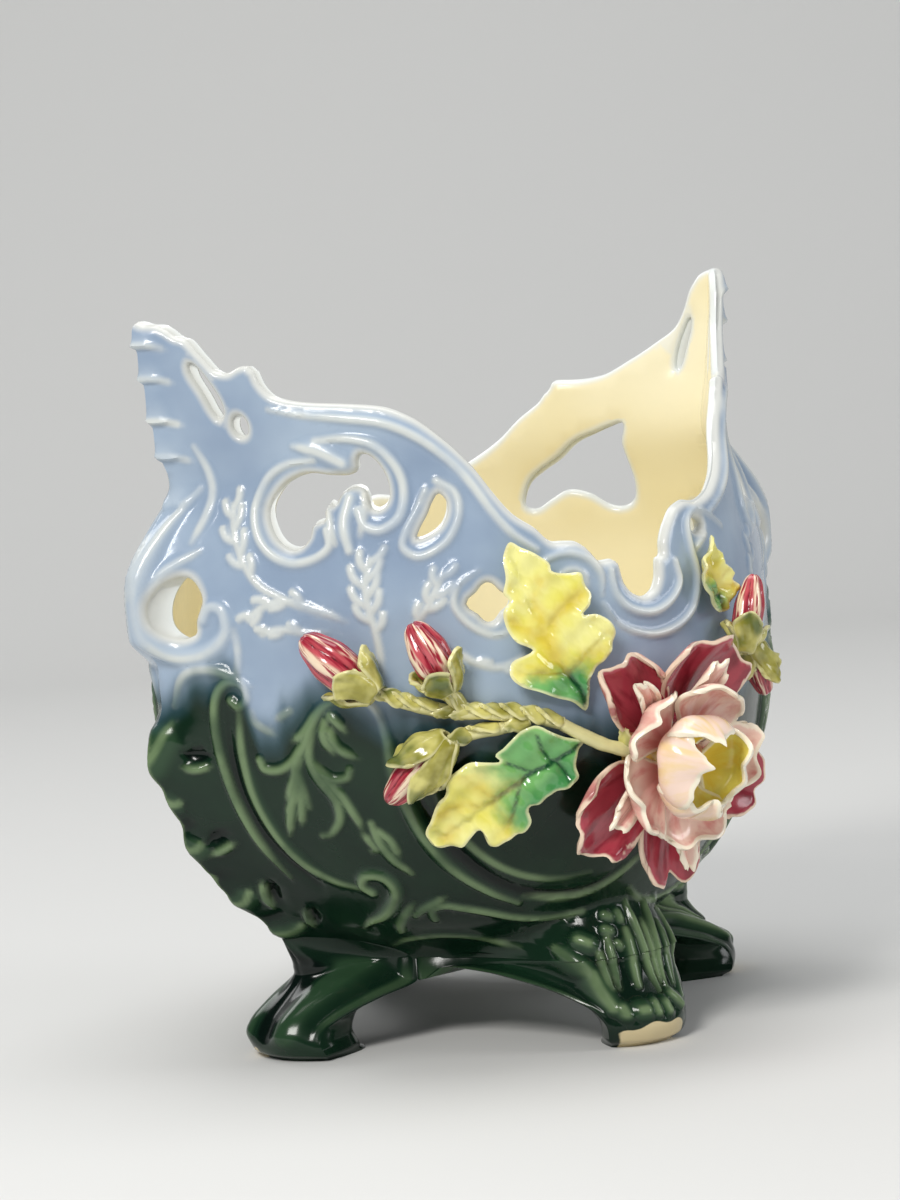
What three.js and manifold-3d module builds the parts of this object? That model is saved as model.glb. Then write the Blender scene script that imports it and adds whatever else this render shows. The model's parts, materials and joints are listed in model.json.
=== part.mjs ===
// Boat-shaped glazed earthenware flower pot with a pierced rim, four feet and an applied peony.
// Millimetres. X runs from prow to prow, -Y is the side with the flower, Z is up from the floor.
import * as THREE from 'three';
import { mergeVertices } from 'three/addons/utils/BufferGeometryUtils.js';
import Module from 'manifold-3d';

const wasm = await Module();
wasm.setup();

// Driving dimensions
const potHeight = 250;
const footHeight = 29;
const bellyHalfLength = 126;
const bellyHalfWidth = 104;
const wallThickness = 5;
const floorThickness = 7;
const rimFall = 2;
const footReach = 97;
const footWidth = 38;
const footSpan = 76;
const archGap = 3;
const ridgeHeight = 1.8;
const peonyReach = 37;
const petalThickness = 2.2;
const leafThickness = 2.4;
const stemRadius = 2.3;
const budRadius = 6.5;
const fitGap = 0.35;

// The ornament is drawn on the flattened wall: s along it from prow to prow, h up it
const drawnHalfSpan = 170;
const drawnBase = 29;
const drawnTop = 250;
const wallColumns = 24;
const front = -1;
const back = 1;
const xAxis = new THREE.Vector3(1, 0, 0);

const glaze = {
  body: { color: 0x9fb2cf, roughness: 0.18, metalness: 0 },
  foot: { color: 0x23362b, roughness: 0.2, metalness: 0 },
  crimson: { color: 0x9c2f38, roughness: 0.2, metalness: 0 },
  pink: { color: 0xe9c3ad, roughness: 0.2, metalness: 0 },
  leaf: { color: 0xd3c848, roughness: 0.2, metalness: 0 },
  stem: { color: 0xa5a24a, roughness: 0.25, metalness: 0 },
};

function smoothStep(low, high, value) {
  return THREE.MathUtils.smoothstep(value, low, high);
}

// A smooth curve with no overshoot through knots [x, y] in rising x
function throughKnots(knots) {
  const slopes = knots.map((knot, i) => {
    if (i === 0 || i === knots.length - 1) return 0;
    const before = (knot[1] - knots[i - 1][1]) / (knot[0] - knots[i - 1][0]);
    const after = (knots[i + 1][1] - knot[1]) / (knots[i + 1][0] - knot[0]);
    return before * after <= 0 ? 0 : (2 * before * after) / (before + after);
  });
  return (x) => {
    let i = 0;
    while (i < knots.length - 2 && x > knots[i + 1][0]) i += 1;
    const [x0, y0] = knots[i];
    const [x1, y1] = knots[i + 1];
    const span = x1 - x0;
    const t = THREE.MathUtils.clamp((x - x0) / span, 0, 1);
    const rise = y1 - y0;
    const hermite = t * t * (3 - 2 * t);
    return y0 + rise * hermite + span * t * (1 - t) * ((1 - t) * slopes[i] - t * slopes[i + 1]);
  };
}

// Half length, half width and keel line, as shares of the belly at each drawn height
const lengthShare = throughKnots([
  [29, 0.5], [45, 0.67], [60, 0.79], [80, 0.91], [100, 0.97], [125, 1],
  [150, 1], [175, 0.95], [195, 0.89], [215, 0.92], [250, 0.955],
]);
const widthShare = throughKnots([
  [29, 0.54], [45, 0.72], [60, 0.835], [80, 0.93], [100, 0.98], [125, 1],
  [150, 0.995], [175, 0.97], [195, 0.94], [215, 0.915], [250, 0.865],
]);
const keelShare = throughKnots([
  [29, 0.6], [43, 0.7], [54, 0.8], [66, 0.885], [79, 0.94], [93, 0.98], [103, 1.02],
  [113, 1.01], [124, 0.975], [136, 0.975], [147, 1.04], [158, 1.05], [169, 1.02],
  [182, 0.955], [195, 0.885], [206, 0.915], [232, 0.945], [250, 0.96],
]);
// Plan form: 1.5 rounds the ends, 2 gives a keeled lens
const fullness = throughKnots([[29, 1.95], [60, 2.05], [100, 2], [250, 2]]);

function heightAt(h) {
  return footHeight + ((h - drawnBase) * (potHeight - footHeight)) / (drawnTop - drawnBase);
}

// The smooth round field on each lower wall, framed by the mouldings
const medallion = { s: -27, h: 92, radiusS: 34, radiusH: 38, rise: 3 };

function medallionRise(s, h) {
  const away = ((s - medallion.s) / medallion.radiusS) ** 2 + ((h - medallion.h) / medallion.radiusH) ** 2;
  return away >= 1 ? 0 : medallion.rise * (1 - away) ** 2;
}

function wallFace(s, h, side) {
  const turn = (s / drawnHalfSpan) * (Math.PI / 2);
  const keeled = smoothStep(118, 162, Math.abs(s));
  const halfLength = bellyHalfLength * THREE.MathUtils.lerp(lengthShare(h), keelShare(h), keeled);
  const halfWidth = bellyHalfWidth * widthShare(h) + medallionRise(s, h);
  const y = side * halfWidth * Math.max(Math.cos(turn), 0) ** fullness(h);
  return new THREE.Vector3(halfLength * Math.sin(turn), Math.abs(s) >= drawnHalfSpan ? 0 : y, heightAt(h));
}

function innerFace(s, h, side) {
  const turn = (s / drawnHalfSpan) * (Math.PI / 2);
  const halfLength = bellyHalfLength * lengthShare(h) - wallThickness * 1.2;
  const halfWidth = bellyHalfWidth * widthShare(h) - wallThickness;
  const y = side * halfWidth * Math.max(Math.cos(turn), 0) ** fullness(h);
  return new THREE.Vector3(halfLength * Math.sin(turn), Math.abs(s) >= drawnHalfSpan ? 0 : y, heightAt(h));
}

// Outward direction of the wall, turning to the X axis on the keels
function wallNormal(s, h, side) {
  const flat = THREE.MathUtils.clamp(s, -165, 165);
  const alongS = wallFace(flat + 0.5, h, side).sub(wallFace(flat - 0.5, h, side));
  const alongH = wallFace(flat, h + 0.5, side).sub(wallFace(flat, h - 0.5, side));
  const normal = alongS.cross(alongH).multiplyScalar(-side).normalize();
  const keel = xAxis.clone().multiplyScalar(Math.sign(s));
  return normal.lerp(keel, smoothStep(148, drawnHalfSpan, Math.abs(s))).normalize();
}

function onWall(s, h, lift = 0, side = front) {
  return wallFace(s, h, side).addScaledVector(wallNormal(s, h, side), lift);
}

// Solids: a closed set of points and faces becomes a manifold that faces outwards
function solidOf(points, faces) {
  let volume = 0;
  for (const [a, b, c] of faces) {
    volume += points[a].dot(new THREE.Vector3().crossVectors(points[b], points[c]));
  }
  const turned = volume < 0 ? faces.map(([a, b, c]) => [a, c, b]) : faces;
  const vertProperties = new Float32Array(points.flatMap((point) => point.toArray()));
  const triVerts = new Uint32Array(turned.flat());
  return new wasm.Manifold(new wasm.Mesh({ numProp: 3, vertProperties, triVerts }));
}

function solidOfGeometry(geometry) {
  const bare = geometry.clone();
  bare.deleteAttribute('normal');
  bare.deleteAttribute('uv');
  const merged = mergeVertices(bare, 1e-4);
  const position = merged.getAttribute('position');
  const points = Array.from({ length: position.count }, (_, i) => new THREE.Vector3().fromBufferAttribute(position, i));
  const index = Array.from(merged.index.array);
  const faces = [];
  for (let i = 0; i < index.length; i += 3) faces.push(index.slice(i, i + 3));
  return solidOf(points, faces);
}

// Three ways to close an end ring: a fan about its middle, a strip between its two long sides,
// and the cut outline of a level ring
function fanCap(ring, points) {
  const middle = ring.reduce((sum, point) => sum.add(point), new THREE.Vector3()).divideScalar(ring.length);
  const centre = points.push(middle) - 1;
  return (start) => ring.map((_, j) => [centre, start + j, start + ((j + 1) % ring.length)]);
}

function stripCap(ring) {
  const last = ring.length - 1;
  return (start) => ring.slice(1, ring.length / 2).flatMap((_, j) => [
    [start + j, start + j + 1, start + last - j],
    [start + j + 1, start + last - j - 1, start + last - j],
  ]);
}

function levelCap(ring) {
  const outline = ring.map(({ x, y }) => new THREE.Vector2(x, y));
  const cut = THREE.ShapeUtils.triangulateShape(outline, []);
  const turned = THREE.ShapeUtils.isClockWise(outline) ? cut.map(([a, b, c]) => [a, c, b]) : cut;
  return (start) => turned.map((face) => face.map((i) => start + i));
}

// Joins rings of equal length end to end and closes both ends
function loft(rings, cap = fanCap) {
  const sides = rings[0].length;
  const points = rings.flat();
  const faces = [];
  for (let i = 0; i < rings.length - 1; i += 1) {
    for (let j = 0; j < sides; j += 1) {
      const a = i * sides + j;
      const b = i * sides + ((j + 1) % sides);
      faces.push([a, b, b + sides], [a, b + sides, a + sides]);
    }
  }
  const firstEnd = cap(rings[0], points)(0);
  const lastEnd = cap(rings[rings.length - 1], points)((rings.length - 1) * sides);
  faces.push(...firstEnd.map(([a, b, c]) => [a, c, b]), ...lastEnd);
  return solidOf(points, faces);
}

// A sheet of even thickness round a grid of points, such as a petal or a leaf
function sheet(grid, thickness) {
  const rows = grid.length;
  const columns = grid[0].length;
  const clampRow = (i) => THREE.MathUtils.clamp(i, 0, rows - 1);
  const clampColumn = (j) => THREE.MathUtils.clamp(j, 0, columns - 1);
  const faceAt = (shift) => grid.map((row, i) => row.map((point, j) => {
    const along = grid[clampRow(i + 1)][j].clone().sub(grid[clampRow(i - 1)][j]);
    const across = row[clampColumn(j + 1)].clone().sub(row[clampColumn(j - 1)]);
    return point.clone().addScaledVector(along.cross(across).normalize(), shift);
  }));
  const upper = faceAt(thickness / 2);
  const lower = faceAt(-thickness / 2);
  return loft(upper.map((row, i) => [...row, ...lower[i].reverse()]), stripCap);
}

// A rounded spindle along a straight or bent line of places, with a radius at each
function spindle(places, radii, sides) {
  const rings = places.map((place, i) => {
    const before = places[Math.max(i - 1, 0)];
    const after = places[Math.min(i + 1, places.length - 1)];
    const along = after.clone().sub(before).normalize();
    const u = new THREE.Vector3(0, 0, 1).cross(along).normalize();
    const v = along.clone().cross(u);
    return Array.from({ length: sides }, (_, j) => {
      const turn = (j / sides) * 2 * Math.PI;
      return place.clone().addScaledVector(u, radii[i] * Math.cos(turn)).addScaledVector(v, radii[i] * Math.sin(turn));
    });
  });
  return loft(rings);
}

function tube(places, radius, steps) {
  const section = new THREE.Shape(new THREE.EllipseCurve(0, 0, radius, radius).getPoints(6).slice(0, 6));
  const geometry = new THREE.ExtrudeGeometry(section, {
    steps, bevelEnabled: false, extrudePath: new THREE.CatmullRomCurve3(places),
  });
  return solidOfGeometry(geometry);
}

// The same solid with its faces pushed out by the gap that neighbours keep
function grown(solid, gap) {
  const { vertProperties, triVerts } = solid.getMesh();
  const geometry = new THREE.BufferGeometry();
  geometry.setAttribute('position', new THREE.BufferAttribute(vertProperties, 3));
  geometry.setIndex(new THREE.BufferAttribute(triVerts, 1));
  geometry.computeVertexNormals();
  const { position, normal } = geometry.attributes;
  for (let i = 0; i < position.count; i += 1) {
    const point = new THREE.Vector3().fromBufferAttribute(position, i);
    point.addScaledVector(new THREE.Vector3().fromBufferAttribute(normal, i), gap);
    position.setXYZ(i, point.x, point.y, point.z);
  }
  return solidOfGeometry(geometry);
}

// Rim line, as runs from prow to prow: spire, high shoulder, scroll, dip, scroll, shoulder, spire
const rimRuns = [
  [[-165, 253], [-152, 249.6], [-136, 247], [-127, 242], [-121, 236], [-115, 231.2],
    [-111, 231], [-105.5, 233], [-102.6, 231]],
  [[-102.6, 231], [-101.6, 227], [-98, 222.3], [-90, 220], [-78, 218.5], [-68, 216.2],
    [-60, 211.5], [-53, 205], [-47, 195], [-41, 184.5], [-35, 177], [-29.5, 172.5], [-24.5, 168]],
  [[-24.5, 168], [-19, 169], [-14.5, 166], [-11.5, 161.8], [-8, 161.8], [-6.2, 160]],
  [[-6.2, 160], [-4.6, 153.5], [-1.5, 149.5], [1.5, 148.3], [4.8, 149.8], [7, 153.5], [8, 158.5]],
  [[8, 158.5], [10.2, 161], [11.5, 165.5], [15, 171], [19.5, 175.6], [24, 177], [30, 176.3]],
  [[30, 176.3], [38, 177.5], [47, 181.5], [56, 186.5], [65, 193], [72, 201], [78, 206.5], [80.5, 210]],
  [[80.5, 210], [82.5, 213.8], [90, 213.4], [98, 214.3], [111, 220], [123, 226], [131, 230],
    [136, 236], [140, 243], [150, 248], [165, 253]],
];

const outerRows = [drawnBase, 43, 58, 78, 103, 124, 136, 158, 182, 196, 222, drawnTop];
const innerRows = [60, 100, 150, 196, drawnTop];

// One ring of places round the pot at one drawn height: along the front and home along the back
function wallRing(face, h) {
  const halfSteps = wallColumns / 2;
  const along = Array.from({ length: wallColumns + 1 }, (_, i) => (drawnHalfSpan * (i - halfSteps)) / halfSteps);
  const home = along.slice(1, -1).reverse();
  return [...along.map((s) => face(s, h, front)), ...home.map((s) => face(s, h, back))];
}

// Outer wall up to the spire tips and inner wall down to the floor, as one loft
function potShell() {
  const floorRise = (floorThickness * (drawnTop - drawnBase)) / (potHeight - footHeight);
  const outer = outerRows.map((h) => wallRing(wallFace, h));
  const inner = [drawnBase + floorRise, ...innerRows].map((h) => wallRing(innerFace, h));
  return loft([...outer, ...inner.reverse()]);
}

// All that stands above the rim line on one side, as a curtain that follows the wall
function aboveRim(side) {
  const rings = rimRuns.flatMap((run, k) => {
    const line = throughKnots(run);
    const stops = run.map(([s]) => s).slice(0, k < rimRuns.length - 1 ? -1 : undefined);
    return stops.map((s) => [
      onWall(s, line(s) - rimFall, -wallThickness - 9, side),
      onWall(s, line(s), 10, side),
      onWall(s, drawnTop + 12, 10, side),
      onWall(s, drawnTop + 12, -wallThickness - 9, side),
    ]);
  });
  return loft(rings);
}

// A raised moulding on the wall: a low crested strip along a drawn line, tapered at its ends
function ridge({ line, width, height = ridgeHeight, stations = line.length }, side, gap = 0) {
  const curve = new THREE.SplineCurve(line.map(([s, h]) => new THREE.Vector2(s, h)));
  const centres = Array.from({ length: stations }, (_, i) => curve.getPoint(i / (stations - 1)));
  const rings = centres.map(({ x: s, y: h }, i) => {
    const before = centres[Math.max(i - 1, 0)];
    const after = centres[Math.min(i + 1, stations - 1)];
    const normal = wallNormal(s, h, side);
    const along = wallFace(after.x, after.y, side).sub(wallFace(before.x, before.y, side));
    const across = along.cross(normal).normalize();
    const isEnd = (i === 0 || i === stations - 1) && Math.abs(s) < drawnHalfSpan;
    const share = isEnd ? 0.35 : 1;
    const half = (share * width) / 2 + gap;
    const top = share * height + gap;
    const section = [[-half, -1.5], [0, top], [half, -1.5]];
    const centre = wallFace(s, h, side);
    return section.map(([out, up]) => centre.clone().addScaledVector(across, out).addScaledVector(normal, up));
  });
  return loft(rings);
}

function mirrorLine(line) {
  return line.map(([s, h]) => [-s, h]);
}

// Mouldings that both prows carry on both sides, drawn at the left prow
const prowRidges = [
  // Scroll round the end window, curling into its volute
  { line: [[-131, 170], [-145, 165.5], [-151, 156], [-144, 145.5], [-131, 141.5], [-118, 143.5],
    [-114.5, 151], [-120, 156], [-123.5, 151.5]], width: 4.6, height: 2.4 },
  // Main vein of the prow leaf, curling at its foot
  { line: [[-118, 128], [-123, 110], [-121.5, 88], [-116, 66], [-103, 47], [-92, 46.5],
    [-83, 55], [-84, 63.5], [-90, 62]], width: 4.6, height: 2.2 },
  // Frilled lobes of the prow leaf, which meet on the keel
  { line: [[-124, 84], [-140, 77], [-170, 74]], width: 8, height: 2.6 },
  { line: [[-121, 64], [-138, 57], [-170, 54]], width: 8, height: 2.6 },
  // Ribs that cross the spire like a shell
  { line: [[-135, 236], [-170, 239]], width: 5.5 },
  { line: [[-133, 217], [-170, 220]], width: 5.5 },
];

// Mouldings of the left half of each side
const leftRidges = [
  { line: [[-98, 217.5], [-78, 214], [-66, 210.5], [-57, 203], [-49, 192.5], [-41, 179.5], [-30, 167.5]], width: 4.2 },
  { line: [[-11.5, 147], [-5, 138.5], [4, 135.8], [14, 138.5], [21.5, 147], [21, 164], [27, 173.5],
    [41, 167]], width: 3.8 },
  { line: [[-90, 201], [-101, 199], [-108.5, 189], [-105, 176], [-95, 168.8], [-86, 170.5], [-85, 178]], width: 4 },
  { line: [[-88, 207], [-77, 206.5], [-68.5, 200.5], [-65.3, 189], [-68, 178.5], [-74, 178.5],
    [-77.5, 184]], width: 4 },
  { line: [[-75.5, 121], [-72.5, 103], [-68, 79], [-58, 60.5], [-42, 50]], width: 4.2 },
];

// Finer mouldings that only the flowered side shows
const frontRidges = [
  // Acanthus spray beside the prow leaf
  { line: [[-89, 121], [-95, 108], [-106.5, 80]], width: 4 },
  { line: [[-79.8, 189], [-80.3, 180], [-78.5, 171]], width: 7, height: 2.4 },
  { line: [[-56.2, 191.5], [-50.6, 184], [-54, 172], [-60.5, 168.5], [-63.8, 176], [-59.5, 189]], width: 3.4 },
  { line: [[-29.5, 160.5], [-24, 165.3], [-16, 163], [-12, 154]], width: 3.4 },
  { line: [[-9, 157.5], [-7, 148], [3, 143.3], [14, 149], [14, 158.5]], width: 3.6 },
  { line: [[-94, 206], [-87, 204], [-81, 199]], width: 6.5, height: 2.2 },
  { line: [[-69, 50], [-48, 46], [-27, 43.3], [-3, 50]], width: 3.2 },
];

// Mouldings of the right half of each side
const rightRidges = [
  { line: [[38, 173], [56, 181.5], [68, 190.5], [79, 202.5], [88, 209], [111, 215]], width: 4.2 },
  { line: [[112, 200], [111, 172], [101, 161.5], [84, 169.5], [70, 162.5], [66.5, 171.5], [77, 187],
    [99, 199.5]], width: 4 },
];

// Openings through the wall, drawn as closed outlines
const leftWindow = drawn([
  [-90, 180.5], [-90.5, 175.5], [-94.5, 173.2], [-99.5, 176], [-104.8, 184.5], [-103.6, 191], [-97, 196],
  [-90, 196.8], [-80.5, 195.6], [-77.8, 198.5], [-75.8, 202], [-72, 198.5], [-69.7, 190], [-69.8, 185.5],
  [-72.8, 184], [-75, 187.5], [-76.8, 191.2], [-80, 191.8], [-83.2, 189.7], [-84.8, 186.8], [-86.6, 187.1],
  [-86.8, 182],
]);
const rightWindow = drawn([
  [109, 197], [107.4, 186], [107.2, 175], [104.5, 167.2], [98.5, 165.9], [91, 171], [84, 173], [78, 170],
  [72, 166.8], [69.4, 169.5], [72.5, 177.5], [78, 182], [84, 185.8], [90, 190.7], [97, 193.7],
]);
const kidneyWindow = drawn([
  [-56.2, 188], [-53.8, 184.5], [-54.3, 179], [-57.5, 175], [-61.3, 174], [-60, 179.5], [-57.9, 185.5],
]);
const endWindow = drawn([
  [-136, 166], [-143, 162], [-146.7, 155.5], [-144.5, 149.5], [-136, 145.8], [-128, 146.5],
  [-126, 152], [-124.5, 158.5], [-129, 165.3],
]);
const spireSlot = drawn([
  [-126, 234.8], [-121, 230.5], [-116.8, 221], [-118.5, 216.2], [-122, 221.5], [-126.5, 230.5],
]);
const spireHole = drawn(ellipse(-111.5, 213.6, 2.8, 3.6, 0, 8));
const scrollHole = drawn(ellipse(27.5, 168.5, 3.2, 2.4, 0, 8));
const quatrefoil = drawn(ellipse(-43.3, 152, 5.6, 6.6, 0.25, 12));

function drawn(points) {
  return points.map(([s, h]) => new THREE.Vector2(s, h));
}

// An ellipse of drawn points, with four lobes where lobing is above nought
function ellipse(s, h, radiusS, radiusH, lobing, steps) {
  return Array.from({ length: steps }, (_, i) => {
    const turn = (i / steps) * 2 * Math.PI;
    const share = 1 - (lobing * (1 - Math.cos(4 * turn))) / 2;
    return [s + radiusS * share * Math.cos(turn), h + radiusH * share * Math.sin(turn)];
  });
}

// A plug through the wall with the shape of a drawn outline
function wallPlug(outline, side) {
  const lifts = [-wallThickness - 8, 8];
  const turned = THREE.ShapeUtils.isClockWise(outline) ? [...outline].reverse() : outline;
  const sides = turned.length;
  const points = lifts.flatMap((lift) => turned.map(({ x: s, y: h }) => onWall(s, h, lift, side)));
  const cap = THREE.ShapeUtils.triangulateShape(turned, []);
  const walls = turned.flatMap((_, j) => {
    const next = (j + 1) % sides;
    return [[j, next, next + sides], [j, next + sides, j + sides]];
  });
  const innerCap = cap.map(([a, b, c]) => [a, c, b]);
  const outerCap = cap.map((face) => face.map((i) => i + sides));
  return solidOf(points, [...walls, ...innerCap, ...outerCap]);
}

function ridgesOf(side, gap = 0) {
  const mirrored = prowRidges.map((item) => ({ ...item, line: mirrorLine(item.line) }));
  const finer = side === front ? frontRidges : [];
  return [...prowRidges, ...mirrored, ...leftRidges, ...rightRidges, ...finer].map((item) => ridge(item, side, gap));
}

function mirrorOutline(outline) {
  return outline.map(({ x, y }) => new THREE.Vector2(-x, y)).reverse();
}

function potBody() {
  const openings = [
    leftWindow, rightWindow, kidneyWindow, quatrefoil, spireHole, scrollHole,
    endWindow, mirrorOutline(endWindow), spireSlot, mirrorOutline(spireSlot),
  ];
  const plugs = [front, back].flatMap((side) => openings.map((outline) => wallPlug(outline, side)));
  const raised = wasm.Manifold.union([potShell(), ...ridgesOf(front), ...ridgesOf(back)]);
  return raised.subtract(wasm.Manifold.union([...plugs, aboveRim(front), aboveRim(back)]));
}

// Place on the pot's lower edge for q from -1 to 1 across a foot, about a prow or about a side
function prowEdge(end) {
  return (q) => wallFace(end * (drawnHalfSpan - footSpan * Math.abs(q)), drawnBase, Math.sign(q * end) || front);
}

function sideEdge(side) {
  return (q) => {
    const place = wallFace(-side * legFan(q) * (drawnHalfSpan - footSpan - archGap), drawnBase, side);
    return place.setY(place.y + side * legBulge(Math.abs(place.x), Math.abs(place.y)));
  };
}

// How far the lower edge swells to meet a side leg, whose front face drops from the belly
const legFan = throughKnots([[-1, -1], [-0.7, -0.44], [-0.35, -0.2], [0, 0], [0.35, 0.2], [0.7, 0.44], [1, 1]]);
const legTop = { reach: footReach - 11.5, half: footWidth * 0.6, bow: 0.45, blend: 3 };

function legBulge(x, y) {
  const short = legTop.reach - legTop.bow * legTop.half * Math.min(x / legTop.half, 1.6) ** 2.4 - y;
  return ((short + Math.hypot(short, legTop.blend)) / 2) * (1 - smoothStep(0.75, 1.6, x / legTop.half));
}

// Share of the foot's height, reach and half width of the toe form, its depth, and how far it follows the edge
const prowStations = [
  [0, footReach - 5, footWidth * 0.38, 19, 0],
  [0.12, footReach - 1, footWidth * 0.45, 24, 0],
  [0.3, footReach, footWidth * 0.48, 26, 0],
  [0.62, footReach - 7, footWidth * 0.5, 26, 0.12],
  [0.84, footReach - 14, footWidth * 0.55, 25, 0.5],
  [1, footReach - 20, footWidth * 0.6, 24, 1],
];
const sideStations = [
  [0, footReach - 6, footWidth * 0.34, 17, 0],
  [0.1, footReach - 2, footWidth * 0.4, 22, 0],
  [0.28, footReach - 1, footWidth * 0.42, 25, 0],
  [0.62, footReach - 6, footWidth * 0.52, 27, 0.12],
  [0.84, footReach - 9.5, footWidth * 0.58, 28, 0.5],
  [1, legTop.reach, legTop.half, 28, 1],
];

// The upper end of a side leg laps the belly: height above the floor on the drawn wall, reach and half width
const lapStations = [
  [24, footReach - 10, footWidth * 0.54],
  [31, footReach - 12.5, footWidth * 0.56],
  [37, footReach - 16, footWidth * 0.5],
  [41, footReach - 19, footWidth * 0.4],
  [43, footReach - 22.5, footWidth * 0.3],
];

// Each foot hangs from a quarter of the pot's lower edge and gathers to toes that turn outwards
const feet = [
  { name: 'foot_right', turn: 0, flutes: 5, edge: prowEdge(1), stations: prowStations },
  { name: 'foot_back', turn: Math.PI / 2, flutes: 5, edge: sideEdge(back), stations: sideStations, lapped: true },
  { name: 'foot_left', turn: Math.PI, flutes: 1, edge: prowEdge(-1), stations: prowStations },
  { name: 'foot_front', turn: -Math.PI / 2, flutes: 5, edge: sideEdge(front), stations: sideStations, lapped: true },
];

function legLap({ turn }) {
  const outwards = new THREE.Vector3(Math.cos(turn), Math.sin(turn), 0);
  const sideways = new THREE.Vector3(-Math.sin(turn), Math.cos(turn), 0);
  const rings = lapStations.map(([h, reach, half]) => {
    const place = (q, out) => outwards.clone().multiplyScalar(out).addScaledVector(sideways, q * half).setZ(heightAt(h));
    const leg = (q) => reach - half * legTop.bow * Math.abs(q) ** 2.4;
    const insideWall = (q) => {
      const narrowing = ((q * half) / (bellyHalfLength * lengthShare(h))) ** 2;
      return wallFace(0, h, back).y * (1 - narrowing) - wallThickness / 2;
    };
    const across = [-1, -0.75, -0.4, 0, 0.4, 0.75, 1];
    return [...across.map((q) => place(q, leg(q))), ...across.map((q) => place(-q, insideWall(q)))];
  });
  return loft(rings, levelCap);
}

function fluteRise(flutes, q) {
  return 0.9 * Math.cos(flutes * Math.PI * q) * (1 - q * q);
}

function foot({ turn, flutes, edge, stations }) {
  const top = footHeight - fitGap;
  const outwards = new THREE.Vector3(Math.cos(turn), Math.sin(turn), 0);
  const sideways = new THREE.Vector3(-Math.sin(turn), Math.cos(turn), 0);
  const outerPoints = 13;
  const innerPoints = 7;
  const rings = stations.map(([share, reach, half, depth, spread]) => {
    const place = (q, inwards) => {
      const flute = fluteRise(flutes, q) * (1 - spread);
      const toe = outwards.clone().multiplyScalar(reach - half * 0.55 * Math.abs(q) ** 2.4 + flute - inwards)
        .addScaledVector(sideways, q * half * (inwards > 0 ? 0.85 : 1));
      const rim = edge(q);
      const shrink = 1 - inwards / rim.clone().setZ(0).length();
      rim.multiplyScalar(Math.max(shrink, 0));
      return toe.lerp(rim, spread).setZ(share * top);
    };
    const outer = Array.from({ length: outerPoints }, (_, j) => place((2 * j) / (outerPoints - 1) - 1, 0));
    const inner = Array.from({ length: innerPoints }, (_, j) => place(1 - (2 * j) / (innerPoints - 1), depth));
    return [...outer, ...inner];
  });
  return loft(rings, levelCap);
}

// The peony sits at one place on the front wall, and its pieces are set round it in millimetres
const peony = { s: 2, h: 98 };
const stretch = {
  s: wallFace(peony.s + 1, peony.h, front).distanceTo(wallFace(peony.s, peony.h, front)),
  h: wallFace(peony.s, peony.h + 1, front).distanceTo(wallFace(peony.s, peony.h, front)),
};

function onPeony(radius, degrees, lift) {
  const turn = THREE.MathUtils.degToRad(degrees);
  const s = peony.s + (radius * Math.cos(turn)) / stretch.s;
  const h = peony.h + (radius * Math.sin(turn)) / stretch.h;
  return onWall(s, h, lift);
}

function flowerBase() {
  const profile = [[2 * fitGap, 1], [2 * fitGap, 8], [2 * fitGap, 15], [6, 13], [12, 9], [17, 5], [18.5, 2]];
  return loft(profile.map(([lift, radius]) => Array.from({ length: 16 }, (_, j) => (
    onPeony(radius, (j / 16) * 360, lift)))));
}

// A petal: its middle line bends from root to tip, and its sides curl up and narrow at both ends
function petal({
  degrees, halfWidth, root, bend, tip, curl = 3, point = 0.12, end = 0.84, lean = 0, rows = 5, columns = 5,
}) {
  const line = new THREE.QuadraticBezierCurve(
    new THREE.Vector2(...root), new THREE.Vector2(...bend), new THREE.Vector2(...tip),
  );
  const grid = Array.from({ length: rows }, (_, i) => {
    const along = i / (rows - 1);
    const spread = halfWidth * Math.sin(Math.PI * THREE.MathUtils.lerp(0.16, end, along)) ** 0.8;
    return Array.from({ length: columns }, (_, j) => {
      const across = (2 * j) / (columns - 1) - 1;
      const { x: radius, y: lift } = line.getPoint(along * (1 - point * across * across));
      return onPeony(radius, degrees + spread * across, lift + (curl * across + lean) * across * along);
    });
  });
  return sheet(grid, petalThickness);
}

const reachShare = peonyReach / 37;
const outerPetals = [[65, 31], [122, 26], [213, 29], [275, 27], [338, 29]].map(([degrees, halfWidth]) => ({
  degrees, halfWidth, root: [9, 4], bend: [25 * reachShare, 4], tip: [peonyReach, 16], curl: 4, point: 0.25,
}));
const tonguePetals = [68, 122, 209, 279].map((degrees) => ({
  degrees, halfWidth: 13, root: [9, 8], bend: [19 * reachShare, 9.5], tip: [28 * reachShare, 18], curl: 1.5, columns: 3,
}));
const middlePetals = [[135, 24, 26], [62, 24.5, 25], [350, 25, 23], [282, 25, 22.5], [208, 24, 25]]
  .map(([degrees, radius, lift]) => ({
    degrees, halfWidth: 38, root: [6, 10.5], bend: [24 * reachShare, 12], tip: [radius * reachShare, lift],
    curl: 1.2, point: 0.28, end: 0.72, lean: 2.2, rows: 4,
  }));
const cupPetals = [[170, 8.5, 34], [88, 10, 33], [345, 12, 31], [255, 11.5, 30]].map(([degrees, radius, lift]) => ({
  degrees, halfWidth: 42, root: [3, 15.5], bend: [22 * reachShare, 17], tip: [radius * reachShare, lift],
  curl: 0.6, point: 0.24, end: 0.7, lean: 1.4,
}));

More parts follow.
